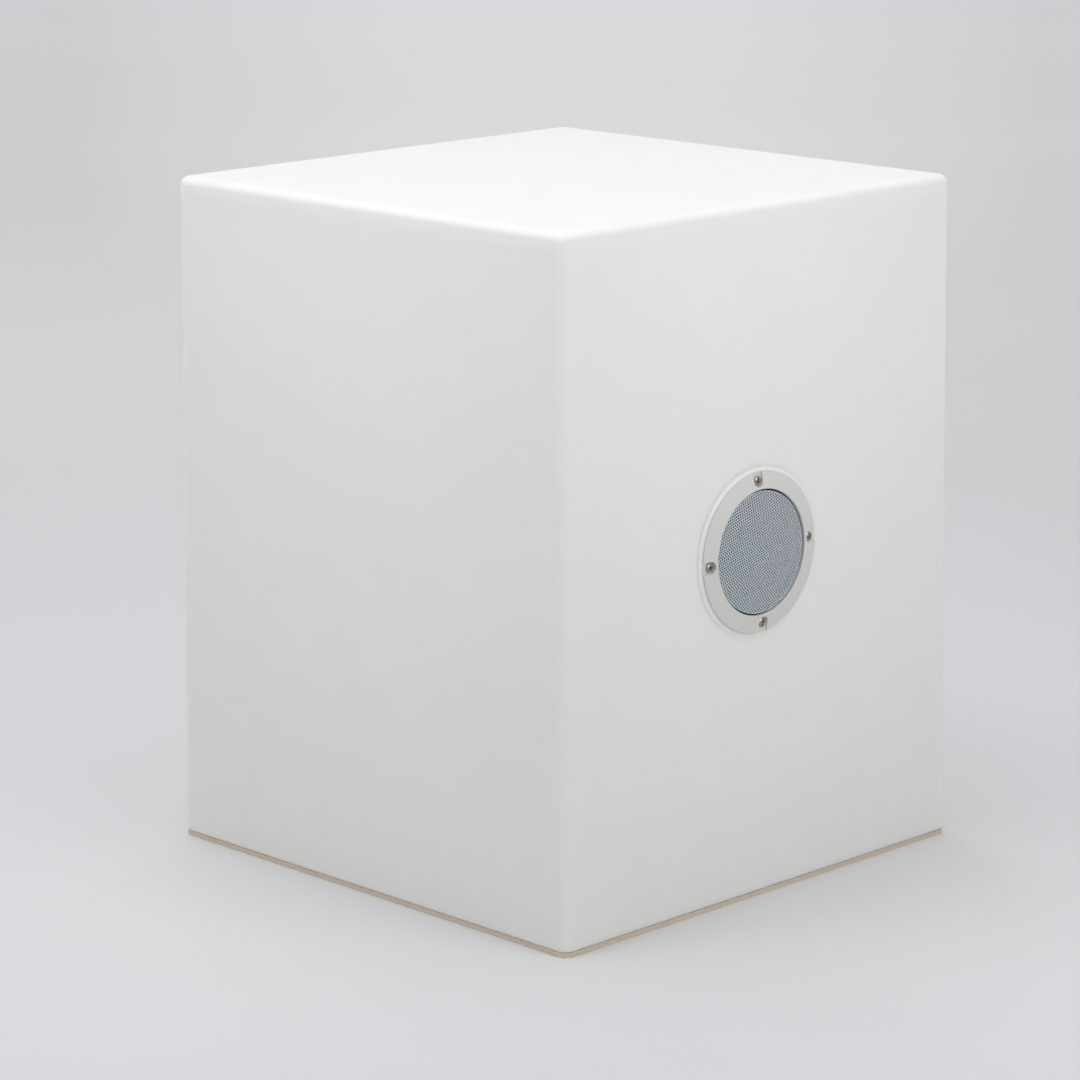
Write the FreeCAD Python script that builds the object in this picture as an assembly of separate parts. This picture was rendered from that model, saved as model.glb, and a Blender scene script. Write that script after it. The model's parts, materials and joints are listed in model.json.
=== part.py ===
"""Light-up cube speaker: an opal moulded box with a loudspeaker in its front face.

Millimetres, +Z up. The origin is the centre of the underside, the speaker faces -Y.
The speaker's pieces are drawn in a frame of their own, on the drafted front face:
X to the right, Y up the face and Z out of it, so a height there is how far a piece
stands proud of the face.
"""
import FreeCAD, Part
import math
import os

from FreeCAD import Placement, Rotation, Vector

# How far a cutting shape runs past the face it opens
OVERCUT = 1.0

# Box
BOX_WIDTH = 400.0
BOX_HEIGHT = 491.5
DRAFT = 0.49
WALL = 4.0
SIDE_EDGE_RADIUS = 12.0
TOP_EDGE_RADIUS = 10.0
FOOT_EDGE_RADIUS = 4.5
FLANGE_WIDTH = 26.0
FLANGE_THICKNESS = 5.0

# Base board and its seal
BOARD_THICKNESS = 3.5
BOARD_CORNER = 8.0
SEAL_THICKNESS = 0.7
SEAL_WIDTH = 18.0
SEAL_INSET = 3.0
BASE_SCREW_SPREAD = 110.0
BASE_SCREW_INSET = 14.0

# Screws
SCREW_RADIUS = 1.5
SCREW_FIT = 0.05
SCREW_PASS = 0.4
SUNK_HEAD_RADIUS = 3.3
SUNK_HEAD_HEIGHT = 1.8
SUNK_HEAD_DEPTH = 0.3
PAN_HEAD_RADIUS = 3.0
PAN_HEAD_HEIGHT = 1.6
PAN_HEAD_SIDE = 0.8
PAN_HEAD_CROWN = 1.8
PAN_HEAD_BULGE = (2.64, 1.36)
CROSS_WIDTH = 0.7
CROSS_SHARE = 0.62
CROSS_DEPTH = 0.9

# Trim ring
SPEAKER_X = -9.5
SPEAKER_Z = 249.5
RING_RADIUS = 60.0
RING_SHOULDER_RADIUS = 57.2
RING_SHOULDER = 2.0
RING_BORE_RADIUS = 44.5
RING_LIP = 4.7
RING_LIP_ROUND = 0.6
RING_LIP_UNDERSIDE = 0.0
RING_SKIRT = 2.6
BARREL_RADIUS = 47.2
BARREL_WALL = 1.2
BARREL_DEPTH = 8.0
CUTOUT_CLEARANCE = 0.4
GASKET_THICKNESS = 0.5
GASKET_CLEARANCE = 0.2
RING_SCREW_CIRCLE = 50.7
RING_SCREW_COUNT = 4
RING_SCREW_TURN = 3.0
RING_SCREW_REACH = 6.0
RING_SCREW_SPIN = 27.0
POCKET_RADIUS = 4.4
POCKET_FLOOR = 1.5
NIB_REACH = 1.0
NIB_HEIGHT = 0.8
NIB_ANGLE = 18.0

# Grille
GRILLE_SHEET = 0.6
GRILLE_RIM = 3.0
GRILLE_RISE = 2.56
GRILLE_DOME_RADIUS = 43.6
GRILLE_FIT = 0.2
GRILLE_MARGIN = 1.2
HOLE_PITCH = 4.4
HOLE_ACROSS_FLATS = 2.7
HOLE_ROW_TURN = 16.0

# Loudspeaker
FLANGE_FRONT = -4.0
BASKET_SHEET = 1.2
BASKET_MOUTH_RADIUS = 40.0
BASKET_LEDGE_RADIUS = 26.0
BASKET_LEDGE = -17.2
BASKET_NECK_RADIUS = 22.5
BASKET_BACK = -27.4
BASKET_EYE_RADIUS = 16.0
WINDOW_COUNT = 6
WINDOW_ANGLE = 44.0
WINDOW_BORDER = 2.4
SPACER_WIDTH = 1.6
ROLL_RADIUS = 3.25
ROLL_SHEET = 0.5
ROLL_LIP = 2.0
CONE_SHEET = 0.5
CONE_NECK = -15.5
COIL_RADIUS = 13.0
FORMER_SHEET = 0.3
GLUE_GAP = 0.05
FORMER_TOP = -13.6
FORMER_LENGTH = 20.4
WINDING_THICKNESS = 0.35
WINDING_LENGTH = 6.4
CAP_RADIUS = 16.0
CAP_RISE = 4.5
SPIDER_SHEET = 0.4
SPIDER_WAVES = 3
SPIDER_WAVE_HEIGHT = 0.8
SPIDER_RIM = 2.0
PLATE_RADIUS = 29.0
PLATE_THICKNESS = 4.0
COIL_GAP = 0.4
MAGNET_RADIUS = 35.0
MAGNET_BORE = 17.0
MAGNET_THICKNESS = 14.0
MAGNET_CHAMFER = 1.0
YOKE_RADIUS = 29.5
YOKE_THICKNESS = 5.0
YOKE_CHAMFER = 1.0
VENT_RADIUS = 3.5
STRIP_WIDTH = 13.0
STRIP_DEPTH = 4.0
STRIP_HEIGHT = 7.0
TAB_WIDTH = 3.0
TAB_THICKNESS = 0.8
TAB_LENGTH = 8.0
TAB_SPREAD = 3.6

# Lead between the loudspeaker and the light unit
LEAD_RADIUS = 2.0
CONNECTOR_WIDTH = 12.0
CONNECTOR_DEPTH = 4.4
CONNECTOR_LENGTH = 13.0
CONNECTOR_FIT = 0.1
LEAD_STANDOFF = 3.6
LEAD_DROP = 12.0
LEAD_SLANT = 30.0
LEAD_S_RADIUS = 12.0
LEAD_TURN_RADIUS = 55.0
CLIP_WIDTH = 12.0
CLIP_LENGTH = 8.0
CLIP_CAP = 1.6
CLIP_COUNT = 2
CLIP_SPACING = 45.0
CLIP_FIT = 0.1
CLIP_ROUND = 3.6
GROMMET_RADIUS = 5.0
GROMMET_NECK = 3.5
GROMMET_LIP = 1.2

# Light unit
DRUM_RADIUS = 79.5
DRUM_CLEARANCE = 0.5
RIM_LIFT = 0.4
DISH_RADIUS = 76.0
DISH_DEPTH = 14.0
RIM_CHAMFER = 0.8
RECESS_COLLAR_WALL = 3.0
RECESS_COLLAR_REACH = 6.0
FLOOR_THICKNESS = 3.0
HOUSING_FLANGE = 18.0
HOUSING_FLANGE_THICKNESS = 3.0
HOUSING_SEAL_THICKNESS = 0.8
HOUSING_SCREW_COUNT = 6
LEDGE_HEIGHT = 58.0
LEDGE_WIDTH = 2.5
DRUM_WALL = 3.0
LED_SEAT_DEPTH = 8.0
EAR_RADIUS = 5.0
EAR_OVERLAP = 1.0
EAR_COUNT = 4
EAR_TURN = 45.0
EAR_HEIGHT = 10.0
LENS_SHEET = 2.0
LENS_FLANGE = 3.0
LENS_RISE = 24.0
LENS_FIT = 0.2
LENS_SCREW_REACH = 7.0
LED_BOARD_THICKNESS = 1.6
LED_SIZE = 5.0
LED_HEIGHT = 1.4
LED_RINGS = ((22.0, 6), (50.0, 12))

# Controls, boards and battery
BUTTON_X = 28.0
BUTTON_RADIUS = 7.0
BUTTON_FIT = 0.2
BUTTON_PROUD = 2.0
BUTTON_COLLAR = 1.6
BUTTON_COLLAR_HEIGHT = 1.0
BUTTON_TRAVEL = 1.2
BUTTON_DISH = 0.5
PLUNGER_RADIUS = 1.75
PLUNGER_FIT = 0.1
SWITCH_SIZE = 6.0
SWITCH_HEIGHT = 3.2
SOCKET_X = -28.0
SOCKET_RADIUS = 5.0
SOCKET_FIT = 0.2
SOCKET_BORE = 2.8
SOCKET_PIN = 1.05
SOCKET_RECESS = 0.6
SOCKET_END = 1.0
PCB_LENGTH = 110.0
PCB_WIDTH = 70.0
PCB_Y = -8.5
PCB_THICKNESS = 1.6
PCB_STANDOFF = 6.6
PCB_SCREW_INSET = 6.0
BOSS_RADIUS = 3.6
RADIO_SIZE = (20.0, 15.0, 2.6)
RADIO_PLACE = (-34.0, 18.0)
AMPLIFIER_SIZE = (12.0, 12.0, 1.8)
AMPLIFIER_PLACE = (-12.0, 4.0)
CHOKE_SIZE = (10.0, 10.0, 5.0)
CHOKE_PLACE = (8.0, 6.0)
CHOKE_ROUND = 2.0
CAPACITOR_RADIUS = 4.0
CAPACITOR_HEIGHT = 12.0
CAPACITOR_PLACES = ((8.0, -18.0), (19.0, -18.0))
HEADER_HEIGHT = 8.0
HEADER_WIDTH = 11.2
HEADER_DEPTH = 10.0
LINK_LENGTH = 14.0
LINK_WIDTH = 5.0
LINK_X = 40.0
PACK_LENGTH = 66.0
PACK_WIDTH = 36.0
PACK_HEIGHT = 19.0
PACK_ROUND = 8.5
PACK_GAP = 2.0
PAD_THICKNESS = 1.0
STRAP_WIDTH = 14.0
STRAP_SHEET = 1.0
STRAP_FIT = 0.2
STRAP_EAR = 9.0
STRAP_BOSS = 2.0

# Values that follow from the sizes above
LEAN = math.tan(math.radians(DRAFT))
SLANT_WALL = WALL / math.cos(math.radians(DRAFT))
SHELL_FOOT = BOARD_THICKNESS + SEAL_THICKNESS
FLANGE_TOP = SHELL_FOOT + FLANGE_THICKNESS
CUTOUT_RADIUS = BARREL_RADIUS + CUTOUT_CLEARANCE
BARREL_BORE = BARREL_RADIUS - BARREL_WALL
CHASSIS_RADIUS = BARREL_BORE - GRILLE_FIT
GRILLE_BACK = RING_LIP_UNDERSIDE - GRILLE_SHEET
ROLL_OUTER = BASKET_MOUTH_RADIUS + ROLL_SHEET
ROLL_INNER = ROLL_OUTER - 2 * ROLL_RADIUS
PLATE_FRONT = BASKET_BACK - BASKET_SHEET
PLATE_BACK = PLATE_FRONT - PLATE_THICKNESS
MAGNET_BACK = PLATE_BACK - MAGNET_THICKNESS
FORMER_BORE = COIL_RADIUS - FORMER_SHEET
POLE_RADIUS = FORMER_BORE - COIL_GAP
PLATE_BORE = COIL_RADIUS + WINDING_THICKNESS + COIL_GAP
DISH_TOP = DISH_DEPTH + FLOOR_THICKNESS
HOUSING_FLANGE_LOW = BOARD_THICKNESS + HOUSING_SEAL_THICKNESS
HOUSING_FLANGE_TOP = HOUSING_FLANGE_LOW + HOUSING_FLANGE_THICKNESS
HOUSING_FLANGE_RADIUS = DRUM_RADIUS + HOUSING_FLANGE
HOUSING_SCREW_CIRCLE = DRUM_RADIUS + HOUSING_FLANGE / 2
SEAT_RADIUS = DRUM_RADIUS - DRUM_WALL
LEDGE_RADIUS = SEAT_RADIUS - LEDGE_WIDTH
DRUM_TOP = LEDGE_HEIGHT + LED_SEAT_DEPTH
LED_BOARD_TOP = LEDGE_HEIGHT + LED_BOARD_THICKNESS
EAR_CIRCLE = DRUM_RADIUS + EAR_RADIUS - EAR_OVERLAP
PCB_BOTTOM = DISH_TOP + PCB_STANDOFF
PCB_TOP = PCB_BOTTOM + PCB_THICKNESS
LEAD_ENTRY = PCB_TOP + HEADER_HEIGHT / 2
PACK_Y = PCB_Y + PCB_WIDTH / 2 + PACK_GAP + PACK_WIDTH / 2
PACK_BOTTOM = DISH_TOP + PAD_THICKNESS
PACK_TOP = PACK_BOTTOM + PACK_HEIGHT
STRAP_SEAT = DISH_TOP + STRAP_BOSS
UP = Vector(0, 0, 1)


def half_width(z):
    """Half the outside width of the drafted box at a height."""
    return BOX_WIDTH / 2 - (z - SHELL_FOOT) * LEAN


FACE = Placement(
    Vector(SPEAKER_X, -half_width(SPEAKER_Z), SPEAKER_Z),
    Rotation(Vector(1, 0, 0), 90 - DRAFT),
)


def cylinder(radius, low, high, x=0.0, y=0.0):
    """A round bar along Z between two heights."""
    return Part.makeCylinder(radius, high - low, Vector(x, y, low))


def tube(inner, outer, low, high):
    """A plain round tube about Z."""
    return cylinder(outer, low, high).cut(cylinder(inner, low, high))


def block(length, width, low, high, x=0.0, y=0.0):
    """A box centred on x and y between two heights."""
    return Part.makeBox(length, width, high - low, Vector(x - length / 2, y - width / 2, low))


def outline(*steps):
    """A closed face in the XZ plane; a step is a point, or (middle, end) of an arc."""
    def at(point):
        return Vector(point[0], 0, point[1])

    start = here = at(steps[0])
    edges = []
    for step in steps[1:] + (steps[0],):
        if isinstance(step[0], tuple):
            edges.append(Part.Arc(here, at(step[0]), at(step[1])).toShape())
            here = at(step[1])
        elif (at(step) - here).Length > 1e-6:
            edges.append(Part.makeLine(here, at(step)))
            here = at(step)
    if (here - start).Length > 1e-6:
        edges.append(Part.makeLine(here, start))
    return Part.Face(Part.Wire(edges))


def turned(*steps, angle=360.0):
    """A turned solid from its half section, given as radius and height."""
    return outline(*steps).revolve(Vector(0, 0, 0), UP, angle)


def cap_middle(apex, radius, rim):
    """The middle of the arc from a dome's apex on the axis to its rim."""
    rise = apex - rim
    curve = (radius * radius + rise * rise) / (2 * rise)
    angle = math.asin(radius / curve) / 2
    return curve * math.sin(angle), apex - curve * (1 - math.cos(angle))


def around(count, radius, turn=0.0):
    """Places spread evenly on a circle, as x, y and the angle in degrees."""
    for i in range(count):
        angle = turn + 360.0 * i / count
        yield radius * math.cos(math.radians(angle)), radius * math.sin(math.radians(angle)), angle


def spun(shape, angle):
    """A copy of a shape turned about Z."""
    copy = shape.copy()
    copy.rotate(Vector(0, 0, 0), UP, angle)
    return copy


def on_face(shape):
    """A copy of a piece drawn in the speaker's frame, set on the front face."""
    copy = shape.copy()
    copy.Placement = FACE.multiply(copy.Placement)
    return copy


def rounded_square(width, radius, z):
    """A square outline with round corners at a height."""
    half = width / 2
    flat = half - radius
    middle = flat + radius * math.sqrt(0.5)
    edges = []
    for quarter in range(4):
        turn = Rotation(UP, 90 * quarter)
        points = [
            Vector(half, -flat, z),
            Vector(half, flat, z),
            Vector(middle, middle, z),
            Vector(flat, half, z),
        ]
        a, b, c, d = [turn.multVec(point) for point in points]
        edges.append(Part.makeLine(a, b))
        edges.append(Part.Arc(b, c, d).toShape())
    return Part.Wire(edges)


def rounded_plate(width, radius, low, high):
    """A flat square plate with round corners."""
    return Part.Face(rounded_square(width, radius, low)).extrude(Vector(0, 0, high - low))


def edges_at(shape, z):
    """The edges of a shape that lie in one level plane."""
    return [e for e in shape.Edges if all(abs(v.Z - z) < 1e-4 for v in e.Vertexes)]


def drafted_box(low, high, inset, corner, top_round):
    """A box with leaning flat sides, set in from the outside of the shell."""
    foot, head = half_width(low) - inset, half_width(high) - inset
    solid = Part.makeWedge(-foot, 0, -foot, -head, -head, foot, high - low, foot, head, head)
    solid.rotate(Vector(0, 0, 0), Vector(1, 0, 0), 90)
    solid.translate(Vector(0, 0, low))
    sides = [e for e in solid.Edges if abs(e.Vertexes[0].Z - e.Vertexes[-1].Z) > 1]
    solid = solid.makeFillet(corner, sides)
    return solid.makeFillet(top_round, edges_at(solid, high))


def pan_screw(seat, reach):
    """A pan-head screw with a cross recess, its head standing on a seat."""
    top = seat + PAN_HEAD_HEIGHT
    bulge_radius, bulge_height = PAN_HEAD_BULGE
    head = turned(
        (0, seat - reach),
        (SCREW_RADIUS, seat - reach),
        (SCREW_RADIUS, seat),
        (PAN_HEAD_RADIUS, seat),
        (PAN_HEAD_RADIUS, seat + PAN_HEAD_SIDE),
        ((bulge_radius, seat + bulge_height), (PAN_HEAD_CROWN, top)),
        (0, top),
    )
    span = 2 * PAN_HEAD_RADIUS * CROSS_SHARE
    for length, width in ((span, CROSS_WIDTH), (CROSS_WIDTH, span)):
        head = head.cut(block(length, width, top - CROSS_DEPTH, top + OVERCUT))
    return head


def sunk_head():
    """The cone of a countersunk head that goes in from the underside."""
    return Part.makeCone(SUNK_HEAD_RADIUS, SCREW_RADIUS, SUNK_HEAD_HEIGHT, Vector(0, 0, SUNK_HEAD_DEPTH))


def sunk_screw(high):
    """A countersunk screw from the underside up to a height, with a cross recess."""
    screw = sunk_head().fuse(cylinder(SCREW_RADIUS, SUNK_HEAD_DEPTH, high))
    span = 2 * SUNK_HEAD_RADIUS * CROSS_SHARE
    for length, width in ((span, CROSS_WIDTH), (CROSS_WIDTH, span)):
        screw = screw.cut(block(length, width, 0, SUNK_HEAD_DEPTH + CROSS_DEPTH))
    return screw


def sunk_hole(high):
    """The countersunk hole that such a screw passes through."""
    hole = sunk_head().fuse(cylinder(SUNK_HEAD_RADIUS, -OVERCUT, SUNK_HEAD_DEPTH))
    return hole.fuse(cylinder(SCREW_RADIUS + SCREW_PASS, SUNK_HEAD_DEPTH + SUNK_HEAD_HEIGHT / 2, high))


def moved(shape, x, y, z=0.0):
    """A shifted copy of a shape."""
    copy = shape.copy()
    copy.translate(Vector(x, y, z))
    return copy


def base_screw_places():
    """Two screws along each side of the base."""
    line = BOX_WIDTH / 2 - BASE_SCREW_INSET
    for quarter in range(4):
        for along in (-BASE_SCREW_SPREAD, BASE_SCREW_SPREAD):
            place = Rotation(UP, 90 * quarter).multVec(Vector(line, along, 0))
            yield place.x, place.y


def ring_screw_places():
    """The screws of the trim ring, turned a little from upright."""
    return around(RING_SCREW_COUNT, RING_SCREW_CIRCLE, 90 + RING_SCREW_TURN)


def housing_screw_places():
    """The screws that hold the recess ring to the board."""
    return around(HOUSING_SCREW_COUNT, HOUSING_SCREW_CIRCLE)


def ear_places():
    """The ears that hold the lens on the drum."""
    return around(EAR_COUNT, EAR_CIRCLE, EAR_TURN)


def pcb_screw_places():
    """The four corners of the control board."""
    for x in (-1, 1):
        for y in (-1, 1):
            yield (
                x * (PCB_LENGTH / 2 - PCB_SCREW_INSET),
                PCB_Y + y * (PCB_WIDTH / 2 - PCB_SCREW_INSET),
            )


def strap_screw_places():
    """A screw at each end of the battery strap."""
    for side in (-1, 1):
        yield side * (PACK_LENGTH / 2 + STRAP_FIT + STRAP_SHEET + STRAP_EAR / 2), PACK_Y


def shell():
    """The hollow opal box, open underneath inside an inward flange."""
    body = drafted_box(SHELL_FOOT, BOX_HEIGHT, 0, SIDE_EDGE_RADIUS, TOP_EDGE_RADIUS)
    body = body.makeFillet(FOOT_EDGE_RADIUS, edges_at(body, SHELL_FOOT))
    body = body.cut(
        drafted_box(
            FLANGE_TOP,
            BOX_HEIGHT - WALL,
            SLANT_WALL,
            SIDE_EDGE_RADIUS - WALL,
            TOP_EDGE_RADIUS - WALL,
        )
    )
    mouth = BOX_WIDTH - 2 * (WALL + FLANGE_WIDTH)
    body = body.cut(rounded_plate(mouth, SIDE_EDGE_RADIUS, SHELL_FOOT - OVERCUT, FLANGE_TOP + OVERCUT))
    pilots = [
        cylinder(SCREW_RADIUS + SCREW_FIT, SHELL_FOOT - OVERCUT, FLANGE_TOP + OVERCUT, x, y)
        for x, y in base_screw_places()
    ]
    cuts = [cylinder(CUTOUT_RADIUS, -2 * WALL, WALL)]
    cuts += [
        cylinder(SCREW_RADIUS + SCREW_FIT, -2 * WALL, WALL, x, y)
        for x, y, _ in ring_screw_places()
    ]
    return body.cut(pilots + [on_face(c) for c in cuts])


def base_board():
    """The thin board that closes the underside."""
    board = rounded_plate(BOX_WIDTH, BOARD_CORNER, 0, BOARD_THICKNESS)
    holes = [cylinder(DRUM_RADIUS + DRUM_CLEARANCE, -OVERCUT, BOARD_THICKNESS + OVERCUT)]
    places = list(base_screw_places()) + [(x, y) for x, y, _ in housing_screw_places()]
    holes += [moved(sunk_hole(BOARD_THICKNESS + OVERCUT), x, y) for x, y in places]
    return board.cut(holes)


def base_seal():
    """The flat seal between the board and the shell's flange."""
    outer = BOX_WIDTH - 2 * SEAL_INSET
    inner = outer - 2 * SEAL_WIDTH
    seal = rounded_plate(outer, SIDE_EDGE_RADIUS, BOARD_THICKNESS, SHELL_FOOT)
    holes = [rounded_plate(inner, SIDE_EDGE_RADIUS, 0, SHELL_FOOT + OVERCUT)]
    holes += [
        cylinder(SCREW_RADIUS + SCREW_PASS, 0, SHELL_FOOT + OVERCUT, x, y)
        for x, y in base_screw_places()
    ]
    return seal.cut(holes)


def base_screws():
    """Countersunk screws through the board into the shell's flange."""
    return [moved(sunk_screw(FLANGE_TOP), x, y) for x, y in base_screw_places()]


def trim_ring():
    """The conical ring with its barrel, screw pockets and snap nibs."""
    slope = (RING_LIP - RING_SHOULDER) / (RING_SHOULDER_RADIUS - RING_BORE_RADIUS)
    round_start = RING_BORE_RADIUS + RING_LIP_ROUND
    lip_top = RING_SHOULDER + slope * (RING_SHOULDER_RADIUS - round_start)
    arc_share = math.sqrt(0.5)
    recess = GASKET_THICKNESS
    skirt_bore = RING_RADIUS - RING_SKIRT
    edge = RING_RADIUS - RING_SHOULDER_RADIUS
    body = turned(
        (RING_RADIUS, 0),
        (
            (RING_RADIUS - edge * (1 - arc_share), RING_SHOULDER * arc_share),
            (RING_SHOULDER_RADIUS, RING_SHOULDER),
        ),
        (round_start, lip_top),
        (
            (round_start - RING_LIP_ROUND * arc_share, lip_top - RING_LIP_ROUND * (1 - arc_share)),
            (RING_BORE_RADIUS, lip_top - RING_LIP_ROUND),
        ),
        (RING_BORE_RADIUS, RING_LIP_UNDERSIDE),
        (BARREL_BORE, RING_LIP_UNDERSIDE),
        (BARREL_BORE, -BARREL_DEPTH),
        (BARREL_RADIUS, -BARREL_DEPTH),
        (BARREL_RADIUS, recess),
        (skirt_bore, recess),
        (skirt_bore, 0),
    )
    reach = RING_RADIUS - RING_SCREW_CIRCLE + POCKET_RADIUS
    pocket = cylinder(POCKET_RADIUS, POCKET_FLOOR, RING_LIP + OVERCUT)
    pocket = pocket.fuse(block(reach, 2 * POCKET_RADIUS, POCKET_FLOOR, RING_LIP + OVERCUT, reach / 2))
    pocket = pocket.fuse(cylinder(SCREW_RADIUS + SCREW_PASS, -OVERCUT, POCKET_FLOOR + OVERCUT))
    pocket.translate(Vector(RING_SCREW_CIRCLE, 0, 0))
    body = body.cut([spun(pocket, angle) for _, _, angle in ring_screw_places()])
    nib_top = FLANGE_FRONT - BASKET_SHEET
    nib = turned(
        (BARREL_BORE - NIB_REACH, nib_top),
        (BARREL_BORE + BARREL_WALL / 2, nib_top),
        (BARREL_BORE + BARREL_WALL / 2, nib_top - 2 * NIB_HEIGHT),
        (BARREL_BORE, nib_top - 2 * NIB_HEIGHT),
        (BARREL_BORE - NIB_REACH, nib_top - NIB_HEIGHT),
        angle=NIB_ANGLE,
    )
    turn = RING_SCREW_TURN + 180.0 / RING_SCREW_COUNT - NIB_ANGLE / 2
    nibs = [spun(nib, angle) for _, _, angle in around(RING_SCREW_COUNT, 1, turn)]
    return on_face(body.fuse(nibs).removeSplitter())


def ring_gasket():
    """The foam ring under the trim ring."""
    inner = BARREL_RADIUS + GASKET_CLEARANCE
    outer = RING_RADIUS - RING_SKIRT - GASKET_CLEARANCE
    gasket = tube(inner, outer, 0, GASKET_THICKNESS)
    holes = [
        cylinder(SCREW_RADIUS + SCREW_PASS, -OVERCUT, GASKET_THICKNESS + OVERCUT, x, y)
        for x, y, _ in ring_screw_places()
    ]
    return on_face(gasket.cut(holes))


def ring_screws():
    """The screws in the ring's pockets, each with its cross turned its own way."""
    screw = pan_screw(POCKET_FLOOR, POCKET_FLOOR + RING_SCREW_REACH)
    places = enumerate(ring_screw_places())
    return [on_face(moved(spun(screw, RING_SCREW_SPIN * i), x, y)) for i, (x, y, _) in places]


def grille_sheet():
    """The domed sheet and its rim before it is perforated."""
    dome, sheet = GRILLE_DOME_RADIUS, GRILLE_SHEET
    top = GRILLE_RIM + GRILLE_RISE
    inner = dome - sheet
    inner_top, inner_rim = top - sheet, GRILLE_RIM - sheet
    return turned(
        (0, top),
        (cap_middle(top, dome, GRILLE_RIM), (dome, GRILLE_RIM)),
        (dome, RING_LIP_UNDERSIDE),
        (CHASSIS_RADIUS, RING_LIP_UNDERSIDE),
        (CHASSIS_RADIUS, GRILLE_BACK),
        (inner, GRILLE_BACK),
        (inner, inner_rim),
        (cap_middle(inner_top, inner, inner_rim), (0, inner_top)),
    )


def grille():
    """The domed sheet with six-sided holes in staggered rows."""
    corner = HOLE_ACROSS_FLATS / math.sqrt(3)
    low = GRILLE_BACK - OVERCUT
    points = [Vector(x, y, low) for x, y, _ in around(6, corner)]
    depth = GRILLE_RIM + GRILLE_RISE + OVERCUT - low
    hole = Part.Face(Part.makePolygon(points + points[:1])).extrude(Vector(0, 0, depth))
    reach = GRILLE_DOME_RADIUS - GRILLE_MARGIN - corner
    count = int(reach / (HOLE_PITCH * math.sqrt(0.75))) + 1
    holes = []
    for row in range(-count, count + 1):
        for column in range(-2 * count, 2 * count + 1):
            x = HOLE_PITCH * (column + row / 2)
            y = HOLE_PITCH * math.sqrt(0.75) * row
            if math.hypot(x, y) <= reach:
                holes.append(moved(hole, x, y))
    return on_face(spun(grille_sheet().cut(Part.makeCompound(holes)), HOLE_ROW_TURN))


def spacer_ring():
    """The ring that presses the grille's rim against the trim ring."""
    return on_face(tube(CHASSIS_RADIUS - SPACER_WIDTH, CHASSIS_RADIUS, FLANGE_FRONT, GRILLE_BACK))


def speaker_basket():
    """The pressed chassis with its windows, spider ledge and back plate."""
    sheet = BASKET_SHEET
    body = turned(
        (CHASSIS_RADIUS, FLANGE_FRONT),
        (BASKET_MOUTH_RADIUS, FLANGE_FRONT),
        (BASKET_LEDGE_RADIUS, BASKET_LEDGE + sheet),
        (BASKET_LEDGE_RADIUS, BASKET_LEDGE),
        (BASKET_NECK_RADIUS, BASKET_LEDGE),
        (BASKET_NECK_RADIUS, BASKET_BACK),
        (BASKET_EYE_RADIUS, BASKET_BACK),
        (BASKET_EYE_RADIUS, BASKET_BACK - sheet),
        (BASKET_NECK_RADIUS + sheet, BASKET_BACK - sheet),
        (BASKET_NECK_RADIUS + sheet, BASKET_LEDGE - sheet),
        (BASKET_LEDGE_RADIUS + sheet, BASKET_LEDGE - sheet),
        (BASKET_MOUTH_RADIUS + sheet, FLANGE_FRONT - sheet),
        (CHASSIS_RADIUS, FLANGE_FRONT - sheet),
    )
    low = BASKET_LEDGE + sheet + WINDOW_BORDER / 2
    high = FLANGE_FRONT - sheet - WINDOW_BORDER
    window = turned(
        (BASKET_NECK_RADIUS, low),
        (CHASSIS_RADIUS, low),
        (CHASSIS_RADIUS, high),
        (BASKET_NECK_RADIUS, high),
        angle=WINDOW_ANGLE,
    )
    windows = [spun(window, a) for _, _, a in around(WINDOW_COUNT, 1, -WINDOW_ANGLE / 2)]
    return on_face(body.cut(windows))


def surround():
    """The half-roll edge that carries the cone, glued to the basket's flange."""
    base = FLANGE_FRONT
    sheet = ROLL_SHEET
    middle = (ROLL_OUTER + ROLL_INNER) / 2
    lift = ROLL_RADIUS
    inner = ROLL_RADIUS - sheet
    return on_face(
        turned(
            (ROLL_OUTER + ROLL_LIP, base),
            (ROLL_OUTER + ROLL_LIP, base + sheet),
            (ROLL_OUTER, base + sheet),
            ((middle, base + sheet + lift), (ROLL_INNER, base + sheet)),
            (ROLL_INNER - ROLL_LIP, base + sheet),
            (ROLL_INNER - ROLL_LIP, base),
            (ROLL_INNER + sheet, base),
            ((middle, base + inner), (ROLL_OUTER - sheet, base)),
        )
    )


def cone_front(radius):
    """The height of the cone's front at a radius."""
    rim = ROLL_INNER - ROLL_LIP
    neck = COIL_RADIUS + GLUE_GAP
    return CONE_NECK + (FLANGE_FRONT - CONE_NECK) * (radius - neck) / (rim - neck)


def cone():
    """The paper cone with a flat rim and a collar at its neck."""
    rim = ROLL_INNER - ROLL_LIP
    neck = COIL_RADIUS + GLUE_GAP
    sheet = CONE_SHEET
    return on_face(
        turned(
            (ROLL_INNER, FLANGE_FRONT),
            (rim, FLANGE_FRONT),
            (neck, CONE_NECK),
            (neck, CONE_NECK - 2 * sheet),
            (neck + sheet, CONE_NECK - 2 * sheet),
            (rim + sheet, FLANGE_FRONT - sheet),
            (ROLL_INNER, FLANGE_FRONT - sheet),
        )
    )


def dust_cap():
    """The cap glued over the cone's neck."""
    base = cone_front(CAP_RADIUS)
    top = base + CAP_RISE
    inner = CAP_RADIUS - CONE_SHEET
    inner_top, inner_base = top - CONE_SHEET, cone_front(inner)
    return on_face(
        turned(
            (0, top),
            (cap_middle(top, CAP_RADIUS, base), (CAP_RADIUS, base)),
            (inner, inner_base),
            (cap_middle(inner_top, inner, inner_base), (0, inner_top)),
        )
    )


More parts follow.
